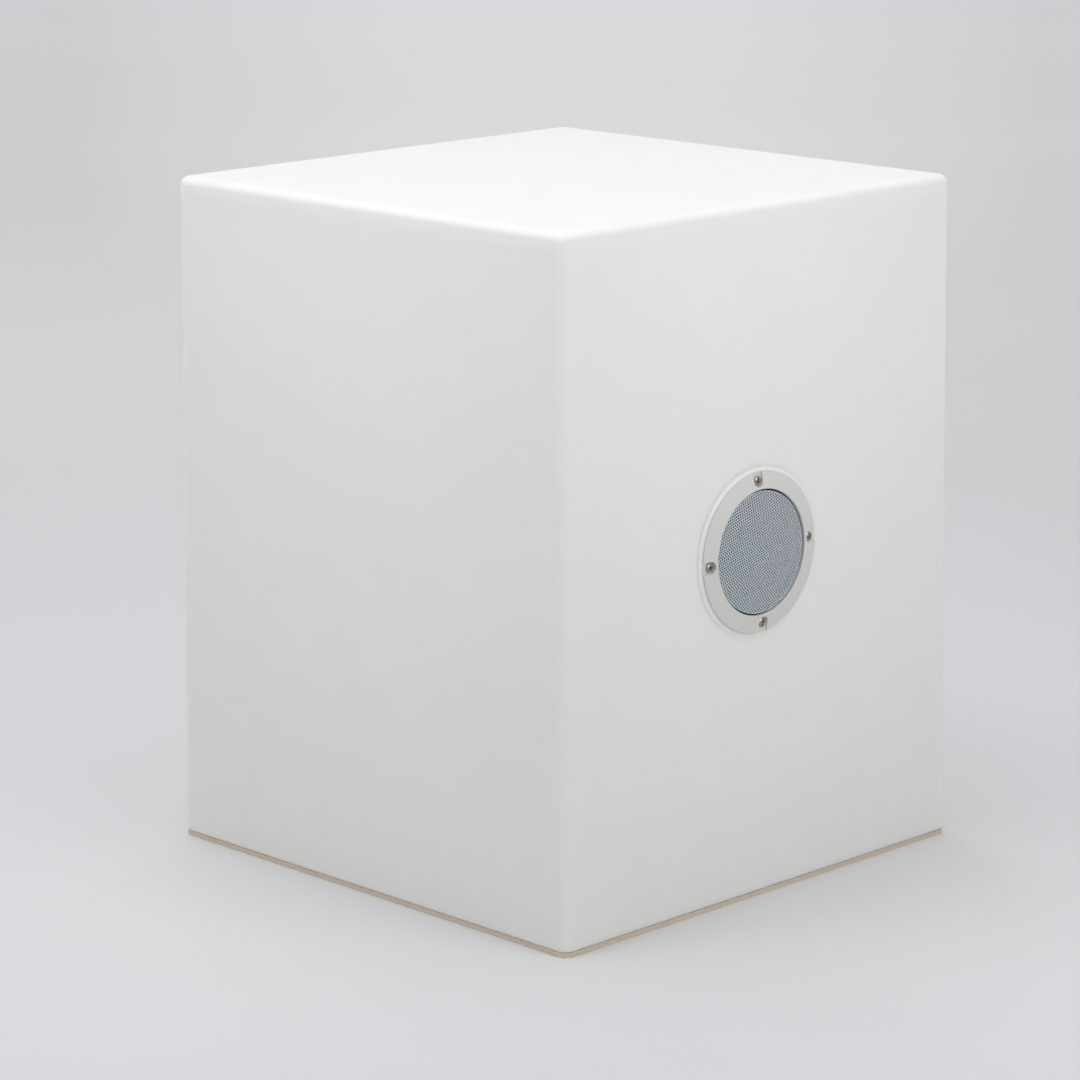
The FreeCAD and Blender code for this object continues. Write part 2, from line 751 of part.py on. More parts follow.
def spider():
    """The corrugated cloth disc that centres the coil."""
    start = COIL_RADIUS + GLUE_GAP
    end = BASKET_LEDGE_RADIUS - GLUE_GAP
    wave = (end - SPIDER_RIM - start - SPIDER_RIM) / SPIDER_WAVES
    low, high = BASKET_LEDGE, BASKET_LEDGE + SPIDER_SHEET

    def run(level, forward):
        """The wavy line of one side of the cloth."""
        steps = []
        order = range(SPIDER_WAVES) if forward else reversed(range(SPIDER_WAVES))
        for i in order:
            a = start + SPIDER_RIM + wave * i
            b = a + wave
            near, far = (a, b) if forward else (b, a)
            steps.append((near, level))
            steps.append((((a + b) / 2, level + SPIDER_WAVE_HEIGHT), (far, level)))
        return steps

    return on_face(
        turned((start, low), *run(low, True), (end, low), (end, high), *run(high, False), (start, high))
    )


def coil_former():
    """The thin tube that joins the cone to the coil."""
    return on_face(tube(FORMER_BORE, COIL_RADIUS, FORMER_TOP - FORMER_LENGTH, FORMER_TOP))


def voice_coil():
    """The winding on the former, centred in the gap of the top plate."""
    middle = (PLATE_FRONT + PLATE_BACK) / 2
    low, high = middle - WINDING_LENGTH / 2, middle + WINDING_LENGTH / 2
    return on_face(tube(COIL_RADIUS, COIL_RADIUS + WINDING_THICKNESS, low, high))


def top_plate():
    """The front plate of the magnet system."""
    return on_face(tube(PLATE_BORE, PLATE_RADIUS, PLATE_BACK, PLATE_FRONT))


def magnet():
    """The ferrite ring, with its edges broken."""
    ring = tube(MAGNET_BORE, MAGNET_RADIUS, MAGNET_BACK, PLATE_BACK)
    rims = [e for e in ring.Edges if abs(e.BoundBox.XLength - 2 * MAGNET_RADIUS) < 0.01]
    return on_face(ring.makeChamfer(MAGNET_CHAMFER, rims))


def yoke():
    """The back plate with its pole and vent."""
    back = MAGNET_BACK - YOKE_THICKNESS
    return on_face(
        turned(
            (VENT_RADIUS, back),
            (YOKE_RADIUS - YOKE_CHAMFER, back),
            (YOKE_RADIUS, back + YOKE_CHAMFER),
            (YOKE_RADIUS, MAGNET_BACK),
            (POLE_RADIUS, MAGNET_BACK),
            (POLE_RADIUS, PLATE_FRONT),
            (VENT_RADIUS, PLATE_FRONT),
        )
    )


STRIP_TOP = BASKET_LEDGE - 2 * BASKET_SHEET
STRIP_LOW = STRIP_TOP - STRIP_HEIGHT
STRIP_FACE = -(BASKET_NECK_RADIUS + BASKET_SHEET + STRIP_DEPTH)
TAB_MIDDLE = (STRIP_TOP + STRIP_LOW) / 2


def terminal_strip():
    """The insulating strip on the neck of the basket."""
    depth = STRIP_DEPTH + BASKET_SHEET + BASKET_NECK_RADIUS
    strip = block(STRIP_WIDTH, depth, STRIP_LOW, STRIP_TOP, 0, -depth / 2)
    neck = cylinder(BASKET_NECK_RADIUS + BASKET_SHEET, STRIP_LOW - OVERCUT, STRIP_TOP + OVERCUT)
    return on_face(strip.cut(neck))


def tab_blocks(clearance=0.0):
    """The two tabs, or the slots they go into."""
    return [
        block(
            TAB_WIDTH + 2 * clearance,
            TAB_LENGTH + clearance,
            TAB_MIDDLE - TAB_THICKNESS / 2 - clearance,
            TAB_MIDDLE + TAB_THICKNESS / 2 + clearance,
            side * TAB_SPREAD,
            STRIP_FACE - (TAB_LENGTH + clearance) / 2,
        )
        for side in (-1, 1)
    ]


def terminal_tabs():
    """The two push-on tabs of the strip."""
    return [on_face(tab) for tab in tab_blocks()]


CONNECTOR_TOP = STRIP_FACE - CONNECTOR_FIT
CONNECTOR_FOOT = CONNECTOR_TOP - CONNECTOR_LENGTH


def lead_connector():
    """The push-on housing over the tabs, with its lead leaving downwards."""
    body = block(
        CONNECTOR_WIDTH,
        CONNECTOR_LENGTH,
        TAB_MIDDLE - CONNECTOR_DEPTH / 2,
        TAB_MIDDLE + CONNECTOR_DEPTH / 2,
        0,
        CONNECTOR_TOP - CONNECTOR_LENGTH / 2,
    )
    return on_face(body.cut(tab_blocks(CONNECTOR_FIT)))


def lead_route():
    """The lead's corners and the radius at each, from the connector to the board's header."""
    def point(y, proud):
        return FACE.multVec(Vector(0, y, proud))

    wall_run = -(WALL + LEAD_STANDOFF)
    start = point(CONNECTOR_FOOT, TAB_MIDDLE)
    bend = point(CONNECTOR_FOOT - LEAD_DROP, TAB_MIDDLE)
    join = point(CONNECTOR_FOOT - LEAD_DROP - LEAD_SLANT, wall_run)
    along = join - point(CONNECTOR_FOOT, wall_run)
    turn = join + along * ((LEAD_ENTRY - join.z) / along.z)
    end = Vector(SPEAKER_X, PCB_Y - PCB_WIDTH / 2, LEAD_ENTRY)
    return [start, bend, join, turn, end], [LEAD_S_RADIUS, LEAD_S_RADIUS, LEAD_TURN_RADIUS]


def speaker_lead():
    """The two-core lead, straight runs joined by tangent arcs."""
    points, radii = lead_route()
    edges = []
    here = points[0]
    for before, corner, after, radius in zip(points, points[1:], points[2:], radii):
        back = (before - corner).normalize()
        ahead = (after - corner).normalize()
        half = back.getAngle(ahead) / 2
        cut = radius / math.tan(half)
        enter, leave = corner + back * cut, corner + ahead * cut
        bisector = (back + ahead).normalize()
        middle = corner + bisector * (radius / math.sin(half) - radius)
        edges.append(Part.makeLine(here, enter))
        edges.append(Part.Arc(enter, middle, leave).toShape())
        here = leave
    edges.append(Part.makeLine(here, points[-1]))
    section = Part.Wire(Part.makeCircle(LEAD_RADIUS, points[0], points[1] - points[0]))
    return Part.Wire(edges).makePipeShell([section], True, False)


def lead_clips():
    """The saddles that hold the lead to the inside of the front wall."""
    inner = -WALL
    height = LEAD_STANDOFF + LEAD_RADIUS + CLIP_CAP
    first = CONNECTOR_FOOT - LEAD_DROP - LEAD_SLANT - CLIP_LENGTH
    clips = []
    for i in range(CLIP_COUNT):
        y = first - CLIP_SPACING * i
        saddle = block(CLIP_WIDTH, CLIP_LENGTH, inner - height, inner, 0, y)
        corners = [
            e for e in edges_at(saddle, inner - height) if abs(e.BoundBox.YLength - CLIP_LENGTH) < 0.01
        ]
        saddle = saddle.makeFillet(CLIP_ROUND, corners)
        bore = Part.makeCylinder(
            LEAD_RADIUS + CLIP_FIT,
            2 * CLIP_LENGTH,
            Vector(0, y - CLIP_LENGTH, inner - LEAD_STANDOFF),
            Vector(0, 1, 0),
        )
        clips.append(on_face(saddle.cut(bore)))
    return clips


def side_turned(*steps):
    """A turned piece about the line on which the lead enters the drum; radius and y."""
    shape = turned(*steps)
    shape.rotate(Vector(0, 0, 0), Vector(1, 0, 0), -90)
    shape.translate(Vector(SPEAKER_X, 0, LEAD_ENTRY))
    return shape


def lead_grommet():
    """The rubber bush where the lead enters the drum."""
    chord_out = -math.sqrt(DRUM_RADIUS ** 2 - (abs(SPEAKER_X) + GROMMET_RADIUS) ** 2)
    outside = -DRUM_RADIUS
    inside = -math.sqrt(LEDGE_RADIUS ** 2 - (abs(SPEAKER_X) + GROMMET_RADIUS) ** 2) + GLUE_GAP
    bore = LEAD_RADIUS + GLUE_GAP
    bush = side_turned(
        (bore, outside - GROMMET_LIP),
        (GROMMET_RADIUS, outside - GROMMET_LIP),
        (GROMMET_RADIUS, chord_out),
        (GROMMET_NECK, chord_out),
        (GROMMET_NECK, inside),
        (GROMMET_RADIUS, inside),
        (GROMMET_RADIUS, inside + GROMMET_LIP),
        (bore, inside + GROMMET_LIP),
    )
    return bush.cut(light_drum())


def recess_ring():
    """The ring round the hand recess, with a flange on the board and a collar for the drum."""
    collar = DRUM_RADIUS + GLUE_GAP
    outside = collar + RECESS_COLLAR_WALL
    top = DISH_DEPTH + RECESS_COLLAR_REACH
    ring = turned(
        (DISH_RADIUS + RIM_CHAMFER, RIM_LIFT),
        (DRUM_RADIUS, RIM_LIFT),
        (DRUM_RADIUS, HOUSING_FLANGE_LOW),
        (HOUSING_FLANGE_RADIUS, HOUSING_FLANGE_LOW),
        (HOUSING_FLANGE_RADIUS, HOUSING_FLANGE_TOP),
        (outside, HOUSING_FLANGE_TOP),
        (outside, top),
        (collar, top),
        (collar, DISH_DEPTH),
        (DISH_RADIUS, DISH_DEPTH),
        (DISH_RADIUS, RIM_LIFT + RIM_CHAMFER),
    )
    pilots = [
        cylinder(SCREW_RADIUS + SCREW_FIT, HOUSING_FLANGE_LOW - OVERCUT, HOUSING_FLANGE_TOP + OVERCUT, x, y)
        for x, y, _ in housing_screw_places()
    ]
    return ring.cut(pilots)


def control_plate():
    """The floor of the recess, which carries the boards and cells on bosses."""
    plate = cylinder(DRUM_RADIUS, DISH_DEPTH, DISH_TOP)
    bosses = [cylinder(BOSS_RADIUS, DISH_TOP, PCB_BOTTOM, x, y) for x, y in pcb_screw_places()]
    bosses += [cylinder(BOSS_RADIUS, DISH_TOP, STRAP_SEAT, x, y) for x, y in strap_screw_places()]
    pilot = SCREW_RADIUS + SCREW_FIT
    blind = DISH_TOP - FLOOR_THICKNESS / 2
    holes = [
        cylinder(BUTTON_RADIUS + BUTTON_FIT, DISH_DEPTH - OVERCUT, DISH_TOP + OVERCUT, BUTTON_X),
        cylinder(SOCKET_RADIUS + SOCKET_FIT, DISH_DEPTH - OVERCUT, DISH_TOP + OVERCUT, SOCKET_X),
    ]
    holes += [cylinder(pilot, DISH_TOP, PCB_BOTTOM + OVERCUT, x, y) for x, y in pcb_screw_places()]
    holes += [cylinder(pilot, blind, STRAP_SEAT + OVERCUT, x, y) for x, y in strap_screw_places()]
    return plate.fuse(bosses).cut(holes)


def light_drum():
    """The turned wall of the light unit, before its ears."""
    outside = -(DRUM_RADIUS + OVERCUT)
    return turned(
        (DRUM_RADIUS, DISH_TOP),
        (DRUM_RADIUS, DRUM_TOP),
        (SEAT_RADIUS, DRUM_TOP),
        (SEAT_RADIUS, LEDGE_HEIGHT),
        (LEDGE_RADIUS, LEDGE_HEIGHT),
        (LEDGE_RADIUS, DISH_TOP),
    ).cut(side_turned((0, outside), (GROMMET_NECK, outside), (GROMMET_NECK, 0), (0, 0)))


def light_housing():
    """The drum that stands on the plate in the ring's collar, with its ears for the lens."""
    body = light_drum()
    ear_low = DRUM_TOP - EAR_HEIGHT
    ears = []
    for x, y, angle in ear_places():
        ear = cylinder(EAR_RADIUS, ear_low, DRUM_TOP, x, y)
        web = spun(block(EAR_RADIUS, 2 * EAR_RADIUS, ear_low, DRUM_TOP, EAR_CIRCLE - EAR_RADIUS / 2), angle)
        wall = cylinder(SEAT_RADIUS + DRUM_WALL / 2, ear_low - OVERCUT, DRUM_TOP + OVERCUT)
        ears.append(ear.fuse(web).cut(wall))
    pilot = SCREW_RADIUS + SCREW_FIT
    holes = [cylinder(pilot, ear_low, DRUM_TOP + OVERCUT, x, y) for x, y, _ in ear_places()]
    return body.fuse(ears).cut(holes)


def housing_seal():
    """The foam ring between the recess ring's flange and the board."""
    seal = tube(DRUM_RADIUS + DRUM_CLEARANCE, HOUSING_FLANGE_RADIUS, BOARD_THICKNESS, HOUSING_FLANGE_LOW)
    holes = [
        cylinder(SCREW_RADIUS + SCREW_PASS, 0, HOUSING_FLANGE_TOP, x, y)
        for x, y, _ in housing_screw_places()
    ]
    return seal.cut(holes)


def housing_screws():
    """Countersunk screws through the board into the recess ring's flange."""
    return [moved(sunk_screw(HOUSING_FLANGE_TOP), x, y) for x, y, _ in housing_screw_places()]


COLLAR_TOP = DISH_TOP + BUTTON_COLLAR_HEIGHT
PLUNGER_TOP = COLLAR_TOP + PCB_STANDOFF - BUTTON_COLLAR_HEIGHT - SWITCH_HEIGHT + BUTTON_TRAVEL


def power_button():
    """The push button in the recess, with a dished face and a collar inside the floor."""
    low = DISH_DEPTH - BUTTON_PROUD
    edge = BUTTON_RADIUS - BUTTON_DISH
    button = turned(
        (0, low + BUTTON_DISH),
        ((edge / 2, low + BUTTON_DISH / 4), (edge, low)),
        (BUTTON_RADIUS, low + BUTTON_DISH),
        (BUTTON_RADIUS, DISH_TOP),
        (BUTTON_RADIUS + BUTTON_COLLAR, DISH_TOP),
        (BUTTON_RADIUS + BUTTON_COLLAR, COLLAR_TOP),
        (0, COLLAR_TOP),
    )
    return moved(button, BUTTON_X, 0)


def switch_plunger():
    """The plunger between the button and its switch."""
    return cylinder(PLUNGER_RADIUS, COLLAR_TOP, PLUNGER_TOP, BUTTON_X)


def tact_switch():
    """The switch under the control board, with room for its plunger."""
    low = PCB_BOTTOM - SWITCH_HEIGHT
    well = PLUNGER_TOP + BUTTON_TRAVEL + PLUNGER_FIT
    body = block(SWITCH_SIZE, SWITCH_SIZE, low, PCB_BOTTOM, BUTTON_X)
    return body.cut(cylinder(PLUNGER_RADIUS + PLUNGER_FIT, low - OVERCUT, well, BUTTON_X))


def charging_socket():
    """The round charging socket, its mouth level with the recess floor."""
    mouth = DISH_DEPTH + SOCKET_RECESS
    end = PCB_BOTTOM - SOCKET_END
    socket = turned(
        (0, PCB_BOTTOM),
        (SOCKET_RADIUS, PCB_BOTTOM),
        (SOCKET_RADIUS, mouth),
        (SOCKET_BORE, mouth),
        (SOCKET_BORE, end),
        (SOCKET_PIN, end),
        (SOCKET_PIN, mouth + SOCKET_END),
        (0, mouth + SOCKET_END),
    )
    return moved(socket, SOCKET_X, 0)


def control_board():
    """The board that carries the switch, the socket and the amplifier."""
    board = block(PCB_LENGTH, PCB_WIDTH, PCB_BOTTOM, PCB_TOP, 0, PCB_Y)
    holes = [
        cylinder(SCREW_RADIUS + SCREW_PASS, PCB_BOTTOM - OVERCUT, PCB_TOP + OVERCUT, x, y)
        for x, y in pcb_screw_places()
    ]
    return board.cut(holes)


def board_screws():
    """The screws at the corners of the control board."""
    screw = pan_screw(PCB_TOP, PCB_THICKNESS + PCB_STANDOFF - SCREW_FIT)
    return [moved(screw, x, y) for x, y in pcb_screw_places()]


def board_components():
    """The larger parts on the control board: radio can, amplifier, choke and capacitors."""
    def case(size, place):
        length, width, height = size
        return block(length, width, PCB_TOP, PCB_TOP + height, place[0], PCB_Y + place[1])

    radio = case(RADIO_SIZE, RADIO_PLACE)
    amplifier = case(AMPLIFIER_SIZE, AMPLIFIER_PLACE)
    choke = case(CHOKE_SIZE, CHOKE_PLACE)
    choke = choke.makeFillet(CHOKE_ROUND, edges_at(choke, PCB_TOP + CHOKE_SIZE[2]))
    capacitors = [
        cylinder(CAPACITOR_RADIUS, PCB_TOP, PCB_TOP + CAPACITOR_HEIGHT, x, PCB_Y + y)
        for x, y in CAPACITOR_PLACES
    ]
    return [radio, amplifier, choke] + capacitors


def lead_header():
    """The header on the control board that the speaker lead plugs into."""
    y = PCB_Y - PCB_WIDTH / 2 + HEADER_DEPTH / 2
    return block(HEADER_WIDTH, HEADER_DEPTH, PCB_TOP, PCB_TOP + HEADER_HEIGHT, SPEAKER_X, y)


def battery_pack():
    """The wrapped pair of cells, sealed as one block."""
    pack = block(PACK_LENGTH, PACK_WIDTH, PACK_BOTTOM, PACK_TOP, 0, PACK_Y)
    long_edges = [e for e in pack.Edges if abs(e.BoundBox.XLength - PACK_LENGTH) < 0.01]
    return pack.makeFillet(PACK_ROUND, long_edges)


def battery_pad():
    """The foam pad under the cells."""
    return block(PACK_LENGTH, PACK_WIDTH - 2 * PACK_ROUND, DISH_TOP, PACK_BOTTOM, 0, PACK_Y)


def battery_strap():
    """The bent metal strap that holds the cells down."""
    inner = PACK_LENGTH / 2 + STRAP_FIT
    outer = inner + STRAP_SHEET
    end = outer + STRAP_EAR
    ear_top = STRAP_SEAT + STRAP_SHEET
    section = outline(
        (-end, STRAP_SEAT),
        (-inner, STRAP_SEAT),
        (-inner, PACK_TOP),
        (inner, PACK_TOP),
        (inner, STRAP_SEAT),
        (end, STRAP_SEAT),
        (end, ear_top),
        (outer, ear_top),
        (outer, PACK_TOP + STRAP_SHEET),
        (-outer, PACK_TOP + STRAP_SHEET),
        (-outer, ear_top),
        (-end, ear_top),
    )
    strap = moved(section.extrude(Vector(0, STRAP_WIDTH, 0)), 0, PACK_Y - STRAP_WIDTH / 2)
    holes = [
        cylinder(SCREW_RADIUS + SCREW_PASS, STRAP_SEAT - OVERCUT, ear_top + OVERCUT, x, y)
        for x, y in strap_screw_places()
    ]
    return strap.cut(holes)


def strap_screws():
    """The screws at the ends of the strap."""
    seat = STRAP_SEAT + STRAP_SHEET
    screw = pan_screw(seat, seat - DISH_TOP + FLOOR_THICKNESS / 2 - SCREW_FIT)
    return [moved(screw, x, y) for x, y in strap_screw_places()]


def led_board():
    """The round board of lamps, lying on the drum's ledge."""
    return cylinder(SEAT_RADIUS - LENS_FIT, LEDGE_HEIGHT, LED_BOARD_TOP)


def led_chips():
    """The lamps, in rings on their board."""
    chip = block(LED_SIZE, LED_SIZE, LED_BOARD_TOP, LED_BOARD_TOP + LED_HEIGHT)
    return [
        moved(spun(chip, angle), x, y)
        for radius, count in LED_RINGS
        for x, y, angle in around(count, radius)
    ]


def board_link():
    """The stacking connector between the two boards."""
    return block(LINK_LENGTH, LINK_WIDTH, PCB_TOP, LEDGE_HEIGHT, LINK_X, PCB_Y)


def lens_dome():
    """The domed cover of the lamps, its spigot holding their board down."""
    spigot = SEAT_RADIUS - LENS_FIT
    inner = spigot - LENS_SHEET
    shoulder = DRUM_TOP + LENS_FLANGE
    top = shoulder + LENS_RISE
    inner_top = top - LENS_SHEET
    dome = turned(
        (0, top),
        (cap_middle(top, spigot, shoulder), (spigot, shoulder)),
        (DRUM_RADIUS, shoulder),
        (DRUM_RADIUS, DRUM_TOP),
        (spigot, DRUM_TOP),
        (spigot, LED_BOARD_TOP),
        (inner, LED_BOARD_TOP),
        (inner, shoulder),
        (cap_middle(inner_top, inner, shoulder), (0, inner_top)),
    )
    ears = []
    for x, y, angle in ear_places():
        ear = cylinder(EAR_RADIUS, DRUM_TOP, shoulder, x, y)
        web = block(EAR_RADIUS, 2 * EAR_RADIUS, DRUM_TOP, shoulder, EAR_CIRCLE - EAR_RADIUS / 2)
        ear = ear.fuse(spun(web, angle)).cut(cylinder(spigot, DRUM_TOP - OVERCUT, shoulder + OVERCUT))
        ears.append(ear)
    dome = dome.fuse(ears)
    holes = [
        cylinder(SCREW_RADIUS + SCREW_PASS, DRUM_TOP - OVERCUT, shoulder + OVERCUT, x, y)
        for x, y, _ in ear_places()
    ]
    return dome.cut(holes)


def lens_screws():
    """The screws through the lens's ears into the drum's."""
    screw = pan_screw(DRUM_TOP + LENS_FLANGE, LENS_FLANGE + LENS_SCREW_REACH)
    return [moved(screw, x, y) for x, y, _ in ear_places()]


NODES = [
    shell, base_board, base_seal, base_screws, trim_ring, ring_gasket, ring_screws, grille,
    spacer_ring, speaker_basket, surround, cone, dust_cap, spider, coil_former, voice_coil,
    top_plate, magnet, yoke, terminal_strip, terminal_tabs, lead_connector, speaker_lead,
    lead_clips, lead_grommet, recess_ring, control_plate, light_housing, housing_seal,
    housing_screws, power_button, switch_plunger, tact_switch, charging_socket, control_board,
    board_screws, board_components, lead_header, battery_pack, battery_pad, battery_strap,
    strap_screws, led_board, led_chips, board_link, lens_dome, lens_screws,
]


def main():
    """Builds every piece and writes it to its own file."""
    os.makedirs("parts", exist_ok=True)
    for make in NODES:
        made = make()
        shape = Part.makeCompound(made) if isinstance(made, list) else made
        shape.exportStep("parts/" + make.__name__ + ".step")
        print(make.__name__, len(shape.Solids), round(shape.Volume), shape.isValid())


main()
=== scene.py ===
"""Dresses the light-up cube speaker in its finishes and sets it on a pale studio floor."""
import json
import logging
import math
from abc import ABC, abstractmethod
from collections.abc import Callable, Iterable, Iterator, Sequence
from dataclasses import dataclass, field
from enum import Enum
from typing import ClassVar

import bmesh
import bpy
from mathutils import Matrix, Vector
from mathutils.geometry import delaunay_2d_cdt
from mathutils.kdtree import KDTree


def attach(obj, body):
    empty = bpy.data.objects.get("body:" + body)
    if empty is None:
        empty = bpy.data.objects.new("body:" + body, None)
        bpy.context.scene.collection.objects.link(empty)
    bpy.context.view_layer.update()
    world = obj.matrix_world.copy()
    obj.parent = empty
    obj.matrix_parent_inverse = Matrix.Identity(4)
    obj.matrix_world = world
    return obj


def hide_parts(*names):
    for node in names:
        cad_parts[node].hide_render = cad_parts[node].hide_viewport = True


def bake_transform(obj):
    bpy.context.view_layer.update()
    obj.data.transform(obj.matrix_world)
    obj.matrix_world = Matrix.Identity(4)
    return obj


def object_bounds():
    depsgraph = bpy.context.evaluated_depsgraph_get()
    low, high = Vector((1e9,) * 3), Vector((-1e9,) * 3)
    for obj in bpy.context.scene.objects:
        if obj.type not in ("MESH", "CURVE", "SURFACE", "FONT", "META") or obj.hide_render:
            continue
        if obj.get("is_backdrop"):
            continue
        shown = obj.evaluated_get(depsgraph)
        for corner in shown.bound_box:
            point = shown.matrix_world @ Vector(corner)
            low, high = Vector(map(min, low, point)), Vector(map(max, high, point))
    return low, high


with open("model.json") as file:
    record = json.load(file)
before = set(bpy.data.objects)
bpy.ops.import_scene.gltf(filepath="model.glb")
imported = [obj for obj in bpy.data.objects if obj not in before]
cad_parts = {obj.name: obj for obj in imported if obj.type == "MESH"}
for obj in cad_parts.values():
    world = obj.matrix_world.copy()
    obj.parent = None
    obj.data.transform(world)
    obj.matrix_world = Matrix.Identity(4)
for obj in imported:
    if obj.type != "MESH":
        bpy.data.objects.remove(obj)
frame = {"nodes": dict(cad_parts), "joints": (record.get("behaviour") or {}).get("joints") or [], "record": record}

CAD_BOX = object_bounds()
LOG = logging.getLogger("cube_speaker")
MM = 0.001
QUARTER = math.pi / 2
# A Wave texture turns by this many radians in a unit of its scale.
WAVE_RATE = 20
# Edges sharper than this angle in degrees are rounded, in this many steps.
SOFT_ANGLE = 30
SOFT_STEPS = 2
# The kind of triangulation that fills the whole outline of its points.
WHOLE_OUTLINE = 0
Colour = tuple[float, float, float, float]
Triple = tuple[float, float, float]
Profile = list[tuple[float, float]]
Inputs = dict[str, "Signal | Colour | float"]


def paint(red: int, green: int, blue: int) -> Colour:
    """Turns a colour as a screen shows it into a shader's linear values.

    Args:
        red: Red from 0 to 255.
        green: Green from 0 to 255.
        blue: Blue from 0 to 255.

    Returns:
        The linear colour, opaque.
    """
    def linear(value: int) -> float:
        """One channel of the colour."""
        share = value / 255
        return share / 12.92 if share <= 0.04045 else ((share + 0.055) / 1.055) ** 2.4

    return linear(red), linear(green), linear(blue), 1.0


def shade(colour: Colour, share: float) -> Colour:
    """The same colour, darker or lighter by a share."""
    return colour[0] * share, colour[1] * share, colour[2] * share, 1.0


class Axis(Enum):
    """A direction of the model."""

    X = "X"
    Y = "Y"
    Z = "Z"


class Body(Enum):
    """The bodies that the finer pieces ride on."""

    BOX = "box"
    CONE = "cone_assembly"


def arithmetic(operation: str, reflected: bool = False) -> Callable[["Signal", "Signal | float"], "Signal"]:
    """Makes the method of an operator.

    Args:
        operation: The operation of the Math node that it adds.
        reflected: Whether the other value stands on the left.

    Returns:
        The method.
    """
    def method(self: "Signal", other: "Signal | float") -> "Signal":
        """Adds the Math node for two values."""
        first, second = (other, self) if reflected else (self, other)
        return self.graph.node("ShaderNodeMath", {"operation": operation}, {0: first, 1: second})[0]

    return method


class Signal:
    """A node's output that takes part in Python arithmetic, where | gives the larger value."""

    __add__, __radd__ = arithmetic("ADD"), arithmetic("ADD", True)
    __sub__, __rsub__ = arithmetic("SUBTRACT"), arithmetic("SUBTRACT", True)
    __mul__, __rmul__ = arithmetic("MULTIPLY"), arithmetic("MULTIPLY", True)
    __truediv__, __rtruediv__ = arithmetic("DIVIDE"), arithmetic("DIVIDE", True)
    __or__, __ror__ = arithmetic("MAXIMUM"), arithmetic("MAXIMUM", True)

    def __init__(self, graph: "Graph", socket: bpy.types.NodeSocket) -> None:
        """Keeps the socket and the graph that it belongs to."""
        self.graph = graph
        self.socket = socket

    def step(self, low: float, high: float) -> "Signal":
        """A smooth step from 0 to 1 between two values."""
        inputs = {"Value": self, "From Min": low, "From Max": high}
        return self.graph.node("ShaderNodeMapRange", {"interpolation_type": "SMOOTHSTEP"}, inputs)[0]


class Made:
    """A node that was added, whose outputs are read by name or number."""

    def __init__(self, graph: "Graph", node: bpy.types.Node) -> None:
        """Keeps the node and its graph."""
        self.graph = graph
        self.node = node

    def __getitem__(self, output: str | int) -> Signal:
        """One output as a signal."""
        return Signal(self.graph, self.node.outputs[output])


class Graph:
    """The node tree of one material or of the world."""

    def __init__(self, tree: bpy.types.NodeTree) -> None:
        """Starts from an empty tree."""
        tree.nodes.clear()
        self.tree = tree

    def node(self, kind: str, settings: dict | None = None, inputs: dict | None = None) -> Made:
        """Adds a node.

        Args:
            kind: The node's type.
            settings: Its properties, set first; stops holds a ramp's (place, colour) pairs.
            inputs: Values or signals by socket name or number.

        Returns:
            The node, to read its outputs from.
        """
        node = self.tree.nodes.new(kind)
        settings = dict(settings or {})
        stops = settings.pop("stops", ())
        for name, value in settings.items():
            setattr(node, name, value)
        for i, (place, colour) in enumerate(stops):
            element = node.color_ramp.elements[i] if i < 2 else node.color_ramp.elements.new(place)
            element.position = place
            element.color = colour
        for key, value in (inputs or {}).items():
            if isinstance(value, Signal):
                self.tree.links.new(value.socket, node.inputs[key])
            else:
                node.inputs[key].default_value = value
        return Made(self, node)

    def place(self) -> Signal:
        """The point on the surface, in the model's metres."""
        return self.node("ShaderNodeTexCoord")["Object"]

    def vector(self, operation: str, *operands: Signal | Triple) -> Made:
        """A Vector Math node of one or two vectors."""
        return self.node("ShaderNodeVectorMath", {"operation": operation}, dict(enumerate(operands)))

    def level(self, vector: Signal) -> Signal:
        """The height of a point or a direction."""
        return self.node("ShaderNodeSeparateXYZ", None, {0: vector})[2]

    def stretched(self, sizes: Triple) -> Signal:
        """The point on the surface, counted in steps of a size along each axis."""
        scale = tuple(1 / size for size in sizes)
        return self.vector("MULTIPLY", self.place(), scale)[0]

    def noise(self, size: float, detail: float = 2.0, rough: float = 0.5) -> Signal:
        """Even noise.

        Args:
            size: The width of its features in metres.
            detail: How many finer layers it has.
            rough: How strong the finer layers are.

        Returns:
            A value from 0 to 1.
        """
        return self.noise_at(self.stretched((size, size, size)), detail, rough)

    def noise_at(self, place: Signal, detail: float = 2.0, rough: float = 0.5) -> Signal:
        """Noise of unit size at a given place."""
        inputs = {"Vector": place, "Scale": 1.0, "Detail": detail, "Roughness": rough}
        return self.node("ShaderNodeTexNoise", None, inputs)[0]

    def bands(self, axis: Axis, pitch: float) -> Signal:
        """Even round ridges across one axis, from 0 to 1."""
        inputs = {"Vector": self.place(), "Scale": 2 * math.pi / WAVE_RATE / pitch, "Distortion": 0.0}
        return self.node("ShaderNodeTexWave", {"bands_direction": axis.value}, inputs)[1]

    def mix(self, factor: Signal, first: Colour | Signal, second: Colour | Signal) -> Signal:
        """A colour between two colours."""
        return self.node("ShaderNodeMix", {"data_type": "RGBA"}, {0: factor, 6: first, 7: second})[2]

    def bump(self, height: Signal, depth: float, normal: Signal | None = None) -> Signal:
        """A normal that follows a relief.

        Args:
            height: The relief, from 0 to 1.
            depth: Its depth in metres.
            normal: The normal that it changes, if not the surface's own.

        Returns:
            The new normal.
        """
        inputs = {"Strength": 1.0, "Distance": depth, "Height": height}
        if normal is not None:
            inputs["Normal"] = normal
        return self.node("ShaderNodeBump", None, inputs)[0]


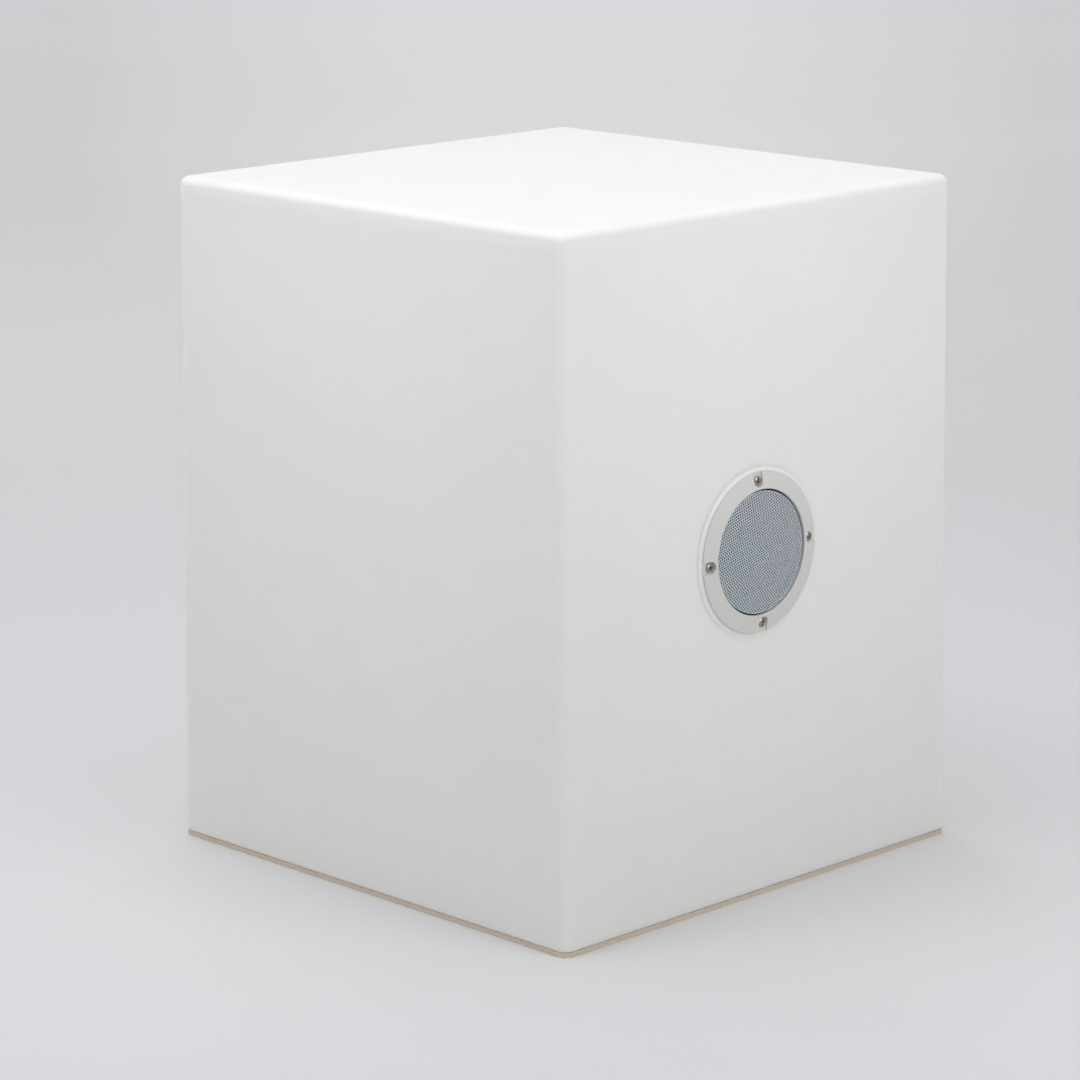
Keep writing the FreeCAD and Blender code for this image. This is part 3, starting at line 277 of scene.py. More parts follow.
@dataclass(frozen=True)
class Finish(ABC):
    """What a surface is made of: its colour, its gloss and its fine relief."""

    colour: Colour
    roughness: float
    uneven: ClassVar[float] = 0.1

    @abstractmethod
    def surface(self, graph: Graph) -> Inputs:
        """The inputs of the surface's shader, by socket name."""

    def gloss(self, mask: Signal) -> Signal:
        """The roughness, varied about its middle by a mask from 0 to 1."""
        return self.roughness + self.uneven * (mask - 0.5)

    def material(self, name: str) -> bpy.types.Material:
        """Makes the finish as a material.

        Args:
            name: The material's name.

        Returns:
            The new material.
        """
        material = bpy.data.materials.new(name)
        material.use_nodes = True
        graph = Graph(material.node_tree)
        shader = graph.node("ShaderNodeBsdfPrincipled", None, self.surface(graph))
        graph.node("ShaderNodeOutputMaterial", None, {"Surface": shader[0]})
        return material


@dataclass(frozen=True)
class MouldedPlastic(Finish):
    """Plastic from a mould, with a fine grain and a slightly uneven gloss."""

    grain: float = 0.5 * MM
    depth: float = 0.012 * MM
    mottle: float = 0.03
    mottle_size: float = 45 * MM
    uneven: ClassVar[float] = 0.12

    def grained(self, graph: Graph) -> Signal:
        """The height of the grain, from 0 to 1."""
        return graph.noise(self.grain, rough=0.6)

    def relief(self, graph: Graph) -> Signal:
        """The normal over the grain."""
        return graph.bump(self.grained(graph), self.depth)

    def surface(self, graph: Graph) -> Inputs:
        """Mottled colour, uneven gloss and a grain."""
        broad = graph.noise(self.mottle_size, detail=3)
        return {
            "Base Color": graph.mix(broad, shade(self.colour, 1 - self.mottle), self.colour),
            "Roughness": self.gloss(broad),
            "Normal": self.relief(graph),
        }


@dataclass(frozen=True)
class OpalPlastic(MouldedPlastic):
    """Thick translucent plastic that light spreads inside, with a faint orange peel."""

    spread: float = 10 * MM
    spread_tint: Triple = (1.0, 1.0, 0.95)
    share: float = 0.5
    shine: float = 0.35
    peel: float = 4 * MM
    peel_depth: float = 0.02 * MM
    crest: float = 491.5 * MM
    soft_edge: float = 16 * MM
    soft_tilt: float = 1.57

    def soft_normal(self, graph: Graph) -> Signal:
        """The normal, turned upwards below the top edge, where light leaks down through the plastic.

        Args:
            graph: The material's nodes.

        Returns:
            The new normal.
        """
        near = (graph.level(graph.place()) - (self.crest - self.soft_edge)) * (1 / self.soft_edge) | 0.0
        lift = graph.node("ShaderNodeCombineXYZ", None, {2: near * near * self.soft_tilt})[0]
        bent = graph.vector("ADD", graph.node("ShaderNodeNewGeometry")["Normal"], lift)[0]
        return graph.vector("NORMALIZE", bent)[0]

    def relief(self, graph: Graph) -> Signal:
        """The normal over the peel and the grain on it."""
        height = graph.noise(self.peel, detail=1) + self.grained(graph) * (self.depth / self.peel_depth)
        return graph.bump(height, self.peel_depth, self.soft_normal(graph))

    def surface(self, graph: Graph) -> Inputs:
        """The moulded surface, with light spreading under it."""
        under = {
            "Specular IOR Level": self.shine,
            "Subsurface Weight": self.share,
            "Subsurface Radius": self.spread_tint,
            "Subsurface Scale": self.spread,
        }
        return super().surface(graph) | under


@dataclass(frozen=True)
class Lacquer(Finish):
    """Stoved lacquer on sheet metal: fine flakes, a clear coat and a slight orange peel."""

    metal: float = 0.4
    coat: float = 0.25
    flake: float = 0.25 * MM
    peel: float = 1.2 * MM
    depth: float = 0.006 * MM
    dark: float = 0.86
    coat_rough: float = 0.12
    uneven: ClassVar[float] = 0.15

    def surface(self, graph: Graph) -> Inputs:
        """Flaky colour under a coat.

        Args:
            graph: The material's nodes.

        Returns:
            The shader's inputs.
        """
        flakes = graph.noise(self.flake, rough=0.7)
        bright = flakes.step(low=0.35, high=0.7)
        return {
            "Base Color": graph.mix(bright, shade(self.colour, self.dark), self.colour),
            "Metallic": self.metal,
            "Roughness": self.gloss(flakes),
            "Coat Weight": self.coat,
            "Coat Roughness": self.coat_rough,
            "Normal": graph.bump(graph.noise(self.peel), self.depth),
        }


@dataclass(frozen=True)
class WorkedMetal(Finish):
    """Bare or plated metal with fine tool marks and a little tarnish."""

    tarnish: Colour = paint(120, 112, 98)
    marks: Triple = (0.15 * MM, 0.15 * MM, 2.5 * MM)
    depth: float = 0.004 * MM
    spot: float = 3 * MM
    uneven: ClassVar[float] = 0.25

    def surface(self, graph: Graph) -> Inputs:
        """Tool marks in the gloss and the relief, tarnish in the colour.

        Args:
            graph: The material's nodes.

        Returns:
            The shader's inputs.
        """
        lines = graph.noise_at(graph.stretched(self.marks), rough=0.6)
        spots = graph.noise(self.spot, detail=4, rough=0.65)
        return {
            "Base Color": graph.mix(spots.step(low=0.5, high=0.85), self.colour, self.tarnish),
            "Metallic": 1.0,
            "Roughness": self.gloss(lines),
            "Normal": graph.bump(lines, self.depth),
        }


@dataclass(frozen=True)
class PressedFibre(Finish):
    """Pressed wood or paper fibre: short streaks in two tones and a soft nap."""

    fleck: Colour = paint(120, 112, 98)
    fibre: Triple = (6 * MM, 6 * MM, 0.35 * MM)
    depth: float = 0.03 * MM
    nap: float = 0.4 * MM
    nap_share: float = 0.5

    def surface(self, graph: Graph) -> Inputs:
        """Fibres in two tones, with their nap.

        Args:
            graph: The material's nodes.

        Returns:
            The shader's inputs.
        """
        streaks = graph.noise_at(graph.stretched(self.fibre), detail=4, rough=0.7)
        nap = graph.noise(self.nap, detail=3, rough=0.7)
        return {
            "Base Color": graph.mix(streaks.step(low=0.4, high=0.75), self.colour, self.fleck),
            "Roughness": self.gloss(nap),
            "Normal": graph.bump(streaks * (1 - self.nap_share) + nap * self.nap_share, self.depth),
        }


@dataclass(frozen=True)
class Elastomer(Finish):
    """Rubber or closed foam: a dull skin with pores, and painted shade in the pores."""

    pore: float = 0.35 * MM
    depth: float = 0.02 * MM
    # Painted shade in the pores and a painted highlight between them: the colour follows the bump.
    dark: float = 0.7
    light: float = 1.2
    uneven: ClassVar[float] = 0.15

    def surface(self, graph: Graph) -> Inputs:
        """A dull skin with painted shade in its pores and a painted highlight on the skin between them."""
        pores = graph.noise(self.pore, detail=3, rough=0.6)
        return {
            "Base Color": graph.mix(pores, shade(self.colour, self.dark), shade(self.colour, self.light)),
            "Roughness": self.gloss(pores),
            "Normal": graph.bump(pores, self.depth),
        }


@dataclass(frozen=True)
class WovenCloth(Finish):
    """A plain weave stiffened with resin."""

    thread: float = 0.5 * MM
    depth: float = 0.08 * MM
    # Painted shade: the gaps between the threads are darker by this share.
    dark: float = 0.55
    polish: float = 0.1

    def surface(self, graph: Graph) -> Inputs:
        """Crossing threads with painted shade in the gaps between them."""
        weave = graph.bands(Axis.X, self.thread) * graph.bands(Axis.Z, self.thread)
        return {
            "Base Color": graph.mix(weave, shade(self.colour, self.dark), self.colour),
            "Roughness": self.roughness - self.polish * weave,
            "Normal": graph.bump(weave, self.depth),
        }


@dataclass(frozen=True)
class WireWinding(Finish):
    """Lacquered wire, wound turn beside turn."""

    wire: float = 0.2 * MM
    # Painted shade: the grooves between the turns are darker by this share.
    dark: float = 0.35
    dull: float = 0.2

    def surface(self, graph: Graph) -> Inputs:
        """Bright turns with painted shade in the grooves between them."""
        turns = graph.bands(Axis.Y, self.wire)
        return {
            "Base Color": graph.mix(turns, shade(self.colour, self.dark), self.colour),
            "Metallic": 1.0,
            "Roughness": self.roughness + self.dull * (1 - turns),
            "Normal": graph.bump(turns, self.wire / 2),
        }


@dataclass(frozen=True)
class CircuitLaminate(Finish):
    """Lacquered laminate with conductor tracks showing through."""

    track: float = 2.6 * MM
    depth: float = 0.03 * MM
    stray: float = 0.6
    light: float = 1.7
    dull: float = 0.1
    coat: float = 0.4

    def surface(self, graph: Graph) -> Inputs:
        """Lighter raised tracks on the lacquer.

        Args:
            graph: The material's nodes.

        Returns:
            The shader's inputs.
        """
        inputs = {"Vector": graph.place(), "Scale": 1 / self.track, "Randomness": self.stray}
        edges = graph.node("ShaderNodeTexVoronoi", {"feature": "DISTANCE_TO_EDGE"}, inputs)["Distance"]
        tracks = 1 - edges.step(low=0.06, high=0.1)
        return {
            "Base Color": graph.mix(tracks, self.colour, shade(self.colour, self.light)),
            "Roughness": self.roughness + self.dull * tracks,
            "Coat Weight": self.coat,
            "Normal": graph.bump(tracks, self.depth),
        }


@dataclass(frozen=True)
class ClearSkin(Finish):
    """Glossy resin or shrink film with soft waves in its skin."""

    wave: float = 5 * MM
    depth: float = 0.1 * MM
    clear: float = 0.0
    dark: float = 0.85
    coat: float = 0.5

    def surface(self, graph: Graph) -> Inputs:
        """A glossy, gently wavy skin."""
        waves = graph.noise(self.wave)
        return {
            "Base Color": graph.mix(waves, shade(self.colour, self.dark), self.colour),
            "Roughness": self.gloss(waves),
            "Transmission Weight": self.clear,
            "Coat Weight": self.coat,
            "Normal": graph.bump(waves, self.depth),
        }


FINISHES: dict[str, Finish] = {
    "opal_plastic": OpalPlastic(paint(240, 240, 235), 0.42),
    "base_fibreboard": PressedFibre(paint(210, 199, 180), 0.8, paint(188, 177, 156)),
    "seal_foam": Elastomer(paint(150, 148, 130), 0.9),
    "ring_plastic": MouldedPlastic(paint(210, 210, 207), 0.5, 0.35 * MM, 0.02 * MM),
    "grille_metal": Lacquer(paint(221, 229, 235), 0.36, 0.2),
    "screw_steel": WorkedMetal(paint(172, 164, 152), 0.22, paint(92, 76, 64)),
    "black_plastic": MouldedPlastic(paint(40, 40, 42), 0.5, mottle=0.1),
    "basket_steel": Lacquer(paint(46, 46, 48), 0.4, 0.1),
    "cone_paper": PressedFibre(paint(44, 44, 46), 0.9, paint(66, 66, 68), (2 * MM, 0.3 * MM, 2 * MM)),
    "surround_rubber": Elastomer(paint(36, 36, 36), 0.6),
    "spider_cloth": WovenCloth(paint(220, 194, 140), 0.8),
    "coil_former_card": PressedFibre(paint(200, 172, 132), 0.7, paint(170, 142, 104)),
    "coil_copper": WireWinding(paint(216, 150, 104), 0.25),
    "magnet_ferrite": MouldedPlastic(paint(68, 68, 70), 0.6, 0.4 * MM, 0.03 * MM, 0.25, 6 * MM),
    "plate_steel": WorkedMetal(paint(190, 190, 190), 0.35, paint(150, 146, 138)),
    "terminal_brass": WorkedMetal(paint(224, 200, 138), 0.28, paint(170, 146, 96)),
    "lead_jacket": Elastomer(paint(38, 38, 40), 0.55),
    "housing_plastic": MouldedPlastic(paint(232, 232, 230), 0.5, 0.4 * MM, 0.02 * MM),
    "button_plastic": MouldedPlastic(paint(148, 150, 152), 0.4, 0.3 * MM),
    "circuit_board": CircuitLaminate(paint(40, 110, 72), 0.35),
    "led_package": ClearSkin(paint(248, 236, 150), 0.2, 2 * MM, 0.05 * MM, 0.3),
    "component_case": MouldedPlastic(paint(56, 56, 58), 0.55, 0.25 * MM, mottle=0.12),
    "battery_film": ClearSkin(paint(70, 130, 190), 0.22),
    "lens_plastic": ClearSkin(paint(246, 246, 246), 0.45, 8 * MM, 0.04 * MM, 0.6),
}


class Wardrobe:
    """The materials of the record's slots, each made once."""

    def __init__(self) -> None:
        """Starts with nothing made."""
        self.made: dict[str, bpy.types.Material] = {}

    def material(self, slot: str) -> bpy.types.Material:
        """The material of a slot, made on its first use.

        Args:
            slot: The slot's name in the record.

        Returns:
            The material.
        """
        if slot not in self.made:
            self.made[slot] = FINISHES[slot].material(slot)
        return self.made[slot]

    def dress_solids(self) -> None:
        """Gives every solid of the frame its slot's material."""
        for part in frame["record"]["subparts"]:
            mesh = frame["nodes"][part["node"]].data
            mesh.materials.clear()
            mesh.materials.append(self.material(part["material_slot"]))
            LOG.info("dressed %s in %s", part["node"], part["material_slot"])


def rounded_square(half: float, corner: float, level: float, segments: int) -> list[Vector]:
    """The points of a square with round corners, anticlockwise.

    Args:
        half: Half the square's width.
        corner: The radius of its corners.
        level: The height of the points.
        segments: The steps of each corner.

    Returns:
        The points in order.
    """
    points = []
    for quarter in range(4):
        start = quarter * QUARTER
        middle = Vector((half - corner, half - corner, level))
        middle.rotate(Matrix.Rotation(start, 3, "Z"))
        for i in range(segments + 1):
            angle = start + QUARTER * i / segments
            points.append(middle + corner * Vector((math.cos(angle), math.sin(angle), 0)))
    return points


def circle(radius: float, level: float, segments: int) -> list[Vector]:
    """The points of a level circle about Z, anticlockwise."""
    turns = (2 * math.pi * i / segments for i in range(segments))
    return [Vector((radius * math.cos(turn), radius * math.sin(turn), level)) for turn in turns]


def within(point: Vector, radius: float, sides: int) -> bool:
    """Whether a flat point lies in a regular polygon that has a corner on the first axis.

    Args:
        point: The point, from the polygon's middle.
        radius: The distance of the polygon's corners.
        sides: The number of its sides.

    Returns:
        True inside the polygon.
    """
    step = 2 * math.pi / sides
    turn = math.atan2(point.y, point.x) % step - step / 2
    return point.length * math.cos(turn) < radius * math.cos(step / 2)


def rectangle(length: float, width: float, level: float) -> list[Vector]:
    """The corners of a level rectangle about Z, anticlockwise."""
    x, y = length / 2, width / 2
    return [Vector((-x, -y, level)), Vector((x, -y, level)), Vector((x, y, level)), Vector((-x, y, level))]


def loft(loops: Iterable[Sequence[Vector]], ring: bool = False) -> bmesh.types.BMesh:
    """Skins a closed mesh over loops of equal length.

    Args:
        loops: The loops in order, each with its points in the same order.
        ring: Whether the last loop joins the first. If not, each end gets a face.

    Returns:
        The mesh, with its faces turned outwards.
    """
    mesh = bmesh.new()
    rows = [[mesh.verts.new(point) for point in loop] for loop in loops]
    if ring:
        rows.append(rows[0])
    else:
        mesh.faces.new(rows[0])
        mesh.faces.new(rows[-1])
    for lower, upper in zip(rows, rows[1:]):
        for i in range(len(lower)):
            mesh.faces.new((lower[i - 1], lower[i], upper[i], upper[i - 1]))
    bmesh.ops.recalc_face_normals(mesh, faces=mesh.faces)
    return mesh


def rod(radius: float, low: float, high: float, segments: int) -> bmesh.types.BMesh:
    """A cylinder about Z between two heights."""
    return loft(circle(radius, level, segments) for level in (low, high))


def turned(section: Profile, segments: int, ring: bool = True) -> bmesh.types.BMesh:
    """Turns a half section about Z, closed on itself or else by a face at each end."""
    return loft((circle(radius, level, segments) for radius, level in section), ring)


def joined(meshes: Iterable[bmesh.types.BMesh]) -> bmesh.types.BMesh:
    """Gathers meshes into one.

    Args:
        meshes: The meshes, which are used up.

    Returns:
        The new mesh.
    """
    whole = bmesh.new()
    for mesh in meshes:
        data = bpy.data.meshes.new("gathered")
        mesh.to_mesh(data)
        mesh.free()
        whole.from_mesh(data)
        bpy.data.meshes.remove(data)
    return whole


def moved(mesh: bmesh.types.BMesh, matrix: Matrix) -> bmesh.types.BMesh:
    """The same mesh, put in another place."""
    mesh.transform(matrix)
    return mesh


def arc(centre: tuple[float, float], radii: tuple[float, float], start: float, end: float,
        steps: int) -> Iterator[tuple[float, float]]:
    """The points of an elliptic arc in a half section.

    Args:
        centre: Its centre, as a radius and a height.
        radii: Its half axes outwards and upwards.
        start: Its first angle in degrees from the outward side.
        end: Its last angle.
        steps: The number of its chords.

    Yields:
        Each point, as a radius and a height.
    """
    for i in range(steps + 1):
        angle = math.radians(start + (end - start) * i / steps)
        yield centre[0] + radii[0] * math.cos(angle), centre[1] + radii[1] * math.sin(angle)


def added(name: str, data: bpy.types.ID) -> bpy.types.Object:
    """Adds an object to the scene.

    Args:
        name: The object's name.
        data: The mesh, camera or light that it shows.

    Returns:
        The new object.
    """
    piece = bpy.data.objects.new(name, data)
    bpy.context.scene.collection.objects.link(piece)
    return piece


def placed(mesh: bmesh.types.BMesh, name: str, matrix: Matrix | None = None) -> bpy.types.Object:
    """Puts a finished mesh in the scene.

    Args:
        mesh: The mesh, which is used up.
        name: The object's name.
        matrix: Where the mesh goes in the model's frame.

    Returns:
        The new object.
    """
    if matrix is not None:
        mesh.transform(matrix)
    data = bpy.data.meshes.new(name)
    mesh.to_mesh(data)
    mesh.free()
    return added(name, data)


def baked(piece: bpy.types.Object) -> None:
    """Applies a piece's modifiers to its mesh.

    Args:
        piece: The piece, which gets a new mesh.
    """
    graph = bpy.context.evaluated_depsgraph_get()
    data = bpy.data.meshes.new_from_object(piece.evaluated_get(graph))
    piece.modifiers.clear()
    piece.data = data


def carve(piece: bpy.types.Object, cutter: bpy.types.Object) -> None:
    """Takes a cutter's volume out of a piece.

    Args:
        piece: The piece, which gets a new mesh.
        cutter: The cutter, which is removed.
    """
    modifier = piece.modifiers.new("carve", "BOOLEAN")
    modifier.operation = "DIFFERENCE"
    modifier.solver = "EXACT"
    modifier.object = cutter
    baked(piece)
    bpy.data.objects.remove(cutter)


def softened(piece: bpy.types.Object, width: float) -> None:
    """Rounds a piece's sharp edges.

    Args:
        piece: The piece, which gets a new mesh.
        width: How far the rounding reaches from an edge.
    """
    modifier = piece.modifiers.new("soften", "BEVEL")
    modifier.width = width
    modifier.segments = SOFT_STEPS
    modifier.limit_method = "ANGLE"
    modifier.angle_limit = math.radians(SOFT_ANGLE)
    modifier.use_clamp_overlap = False
    baked(piece)


def smoothed(piece: bpy.types.Object, crease: float) -> None:
    """Shades a piece smoothly, led by its large faces.

    Args:
        piece: The piece.
        crease: The angle in degrees from which an edge stays sharp.
    """
    piece.data.shade_smooth()
    piece.data.set_sharp_from_angle(angle=math.radians(crease))
    weights = piece.modifiers.new("weights", "WEIGHTED_NORMAL")
    weights.keep_sharp = True


def add_on(piece: bpy.types.Object, wardrobe: Wardrobe, slot: str, body: Body | None) -> None:
    """Dresses a piece in a slot's material and sets it on a body.

    Args:
        piece: The new piece.
        wardrobe: Where its material comes from.
        slot: The slot of its material.
        body: The body that it rides on, or None to set it on no body.
    """
    piece.data.materials.clear()
    piece.data.materials.append(wardrobe.material(slot))
    if body is not None:
        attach(piece, body.value)
    LOG.info("made %s with %d faces", piece.name, len(piece.data.polygons))


def hand_over(piece: bpy.types.Object, wardrobe: Wardrobe, node: str, body: Body | None) -> None:
    """Dresses a piece that stands for a solid and sets it on that solid's body.

    Args:
        piece: The new piece.
        wardrobe: Where its material comes from.
        node: The solid that it stands for.
        body: The body that it rides on, or None to set it on no body.
    """
    slots = {part["node"]: part["material_slot"] for part in frame["record"]["subparts"]}
    add_on(piece, wardrobe, slots[node], body)
    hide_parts(node)
    LOG.info("%s stands for %s", piece.name, node)


@dataclass(frozen=True)
class SpeakerFace:
    """The loudspeaker's own frame on the leaning front face: right, up the face, outwards."""

    matrix: Matrix
    screw_circle: float = 50.7 * MM
    screw_turn: float = math.radians(93)
    screw_spin: float = math.radians(27)

    def screw_places(self) -> list[Matrix]:
        """Where the four ring screws stand on the face, each pointing away from the middle."""
        out = Matrix.Translation((self.screw_circle, 0, 0))
        return [Matrix.Rotation(self.screw_turn + QUARTER * i, 4, "Z") @ out for i in range(4)]

    @classmethod
    def from_frame(cls) -> "SpeakerFace":
        """Finds the frame from the cone's travel and the gasket that lies on the face.

        Returns:
            The frame.
        """
        travel = next(joint for joint in frame["joints"] if joint["name"] == "cone_travel")
        out = Vector(travel["axis"]).normalized()
        right = Vector((1, 0, 0))
        up = out.cross(right)
        points = [vertex.co for vertex in frame["nodes"]["ring_gasket"].data.vertices]
        origin = Vector((0, 0, 0))
        for axis in (right, up):
            reach = [point.dot(axis) for point in points]
            origin += axis * (min(reach) + max(reach)) / 2
        origin += out * min(point.dot(out) for point in points)
        axes = Matrix((right, up, out)).transposed().to_4x4()
        return cls(Matrix.Translation(origin) @ axes)


@dataclass
class Shell:
    """The hollow opal box with leaning sides and soft edges."""

    half: float = 200 * MM
    foot: float = 4.2 * MM
    top: float = 491.5 * MM
    lean: float = math.tan(math.radians(0.49))
    wall: float = 4 * MM
    side_round: float = 8 * MM
    top_run: float = 8 * MM
    top_drop: float = 6.5 * MM
    least_round: float = 0.5 * MM
    foot_round: float = 1.2 * MM
    skirt: float = 3.55 * MM
    skirt_wall: float = 2.6 * MM
    flange_top: float = 9.2 * MM
    mouth: float = 170 * MM
    mouth_round: float = 12 * MM
    cutout: float = 47.6 * MM
    pilot: float = 1.55 * MM
    screw_line: float = 186 * MM
    screw_spread: float = 110 * MM
    corner_steps: int = 16
    edge_steps: int = 12
    cutout_sides: int = 144
    pilot_sides: int = 16
    crease: float = 40

    def loop(self, inset: float, level: float, corner: float) -> list[Vector]:
        """A loop set in from the outside of the leaning sides."""
        half = self.half - (level - self.foot) * self.lean - inset
        return rounded_square(half, corner, level, self.corner_steps)

    def rolled(self, run: float, rise: float, inset: float, corner: float) -> Iterator[list[Vector]]:
        """The loops of a rounded upper edge.

        Args:
            run: How far the rounding reaches inwards.
            rise: How far it reaches up from where it starts.
            inset: How far the side is set in.
            corner: The radius of the side's corners.

        Yields:
            Each loop, from the side to the flat.
        """
        for i in range(self.edge_steps + 1):
            angle = QUARTER * i / self.edge_steps
            share = 1 - math.cos(angle)
            tight = corner + (self.least_round - corner) * share
            level = self.top - self.top_drop + rise * math.sin(angle)
            yield self.loop(inset + run * share, level, tight)

    def foot_edge(self) -> Iterator[list[Vector]]:
        """The loops of the rounded lower edge.

        Yields:
            Each loop, from the underside to the side.
        """
        for i in range(self.edge_steps + 1):
            angle = QUARTER * i / self.edge_steps
            inset = self.foot_round * (1 - math.sin(angle))
            level = self.skirt + self.foot_round * (1 - math.cos(angle))
            yield self.loop(inset, level, self.side_round - inset)

    def openings(self, face: SpeakerFace) -> bmesh.types.BMesh:
        """The cut-out for the loudspeaker and the pilot holes of the ring's and the base's screws.

        Args:
            face: The loudspeaker's frame.

        Returns:
            The volumes to take out of the box.
        """
        deep = 2 * self.wall
        cuts = [rod(self.cutout, -deep, self.wall, self.cutout_sides)]
        for place in face.screw_places():
            cuts.append(moved(rod(self.pilot, -deep, self.wall, self.pilot_sides), place))
        cuts = [moved(cut, face.matrix) for cut in cuts]
        for quarter in range(4):
            turn = Matrix.Rotation(QUARTER * quarter, 4, "Z")
            for along in (-self.screw_spread, self.screw_spread):
                place = turn @ Matrix.Translation((self.screw_line, along, 0))
                cuts.append(moved(rod(self.pilot, 0, 2 * self.flange_top, self.pilot_sides), place))
        return joined(cuts)

    def build(self, wardrobe: Wardrobe, face: SpeakerFace) -> None:
        """Makes the box with its openings.

        Args:
            wardrobe: Where its material comes from.
            face: The loudspeaker's frame.
        """
        outside = list(self.rolled(self.top_run, self.top_drop, 0, self.side_round))
        foot = list(self.foot_edge())
        under = [
            self.loop(self.skirt_wall, level, self.side_round - self.skirt_wall)
            for level in (self.skirt, self.foot)
        ]
        mouth = [
            rounded_square(self.mouth, self.mouth_round, level, self.corner_steps)
            for level in (self.foot, self.flange_top)
        ]
        corner = self.side_round - self.wall
        inside = [self.loop(self.wall, self.flange_top, corner)]
        inside += self.rolled(self.top_run - self.wall, self.top_drop - self.wall, self.wall, corner)
        loops = outside[::-1] + foot[::-1] + under + mouth + inside
        piece = placed(loft(loops), "opal_shell")
        carve(piece, placed(self.openings(face), "openings"))
        smoothed(piece, self.crease)
        hand_over(piece, wardrobe, "shell", Body.BOX)


@dataclass
class TrimRing:
    """The conical ring with its barrel and the pockets of its screws, and the collar round it."""

    outer: float = 60 * MM
    shoulder: float = 57 * MM
    shoulder_height: float = 2.4 * MM
    collar_height: float = 1.5 * MM
    collar_gap: float = 0.06 * MM
    collar_edge: float = 0.15 * MM
    collar_steps: int = 10
    bore: float = 44.5 * MM
    lip: float = 4.57 * MM
    lip_round: float = 0.6 * MM
    lip_steps: int = 6
    recess: float = 0.5 * MM
    barrel: float = 47.2 * MM
    barrel_wall: float = 1.2 * MM
    barrel_depth: float = 8.0 * MM
    pocket: float = 4.4 * MM
    pocket_floor: float = 1.5 * MM
    pocket_steps: int = 24
    screw_hole: float = 1.9 * MM
    hole_sides: int = 24
    edge: float = 0.12 * MM
    segments: int = 240
    crease: float = 30
    collar_crease: float = 40

    def section(self) -> Profile:
        """The ring's half section, from its outer edge over the face and down the barrel.

        Returns:
            Its points.
        """
        inner = self.barrel - self.barrel_wall
        bend = (self.bore + self.lip_round, self.lip - self.lip_round)
        return [
            (self.shoulder, self.recess),
            (self.shoulder, self.shoulder_height),
            *arc(bend, (self.lip_round, self.lip_round), 90, 180, self.lip_steps),
            (self.bore, 0),
            (inner, 0),
            (inner, -self.barrel_depth),
            (self.barrel, -self.barrel_depth),
            (self.barrel, self.recess),
        ]

    def collar_section(self) -> Profile:
        """The half section of the soft collar that the ring's edge stands in.

        Returns:
            Its points.
        """
        inner = self.shoulder + self.collar_gap
        cove = (self.outer - inner, self.collar_height - self.collar_edge)
        slope = arc((self.outer, self.collar_height), cove, 270, 180, self.collar_steps)
        return [(inner, 0), (self.outer, 0), *slope]

    def slot(self, reach: float) -> bmesh.types.BMesh:
        """One pocket for a screw, round at its inner end and open towards the ring's edge.

        Args:
            reach: How far it goes outwards from the screw.

        Returns:
            The volume to take out of the ring.
        """
        turns = [math.pi * (0.5 + i / self.pocket_steps) for i in range(self.pocket_steps + 1)]
        outline = [(self.pocket * math.cos(turn), self.pocket * math.sin(turn)) for turn in turns]
        outline = [(reach, self.pocket), *outline, (reach, -self.pocket)]
        levels = (self.pocket_floor, 2 * self.lip)
        return loft([Vector((x, y, level)) for x, y in outline] for level in levels)

    def build(self, wardrobe: Wardrobe, face: SpeakerFace) -> None:
        """Turns the ring, cuts its pockets, softens its edges and adds the collar.

        Args:
            wardrobe: Where the materials come from.
            face: The loudspeaker's frame.
        """
        piece = placed(turned(self.section(), self.segments), "pocketed_ring")
        places = face.screw_places()
        reach = self.outer - face.screw_circle + self.pocket
        carve(piece, placed(joined(moved(self.slot(reach), place) for place in places), "slots"))
        holes = (moved(rod(self.screw_hole, -self.lip, self.lip, self.hole_sides), place) for place in places)
        carve(piece, placed(joined(holes), "holes"))
        softened(piece, self.edge)
        piece.data.transform(face.matrix)
        smoothed(piece, self.crease)
        hand_over(piece, wardrobe, "trim_ring", Body.BOX)
        collar = placed(turned(self.collar_section(), self.segments), "ring_collar", face.matrix)
        smoothed(collar, self.collar_crease)
        add_on(collar, wardrobe, "housing_plastic", Body.BOX)


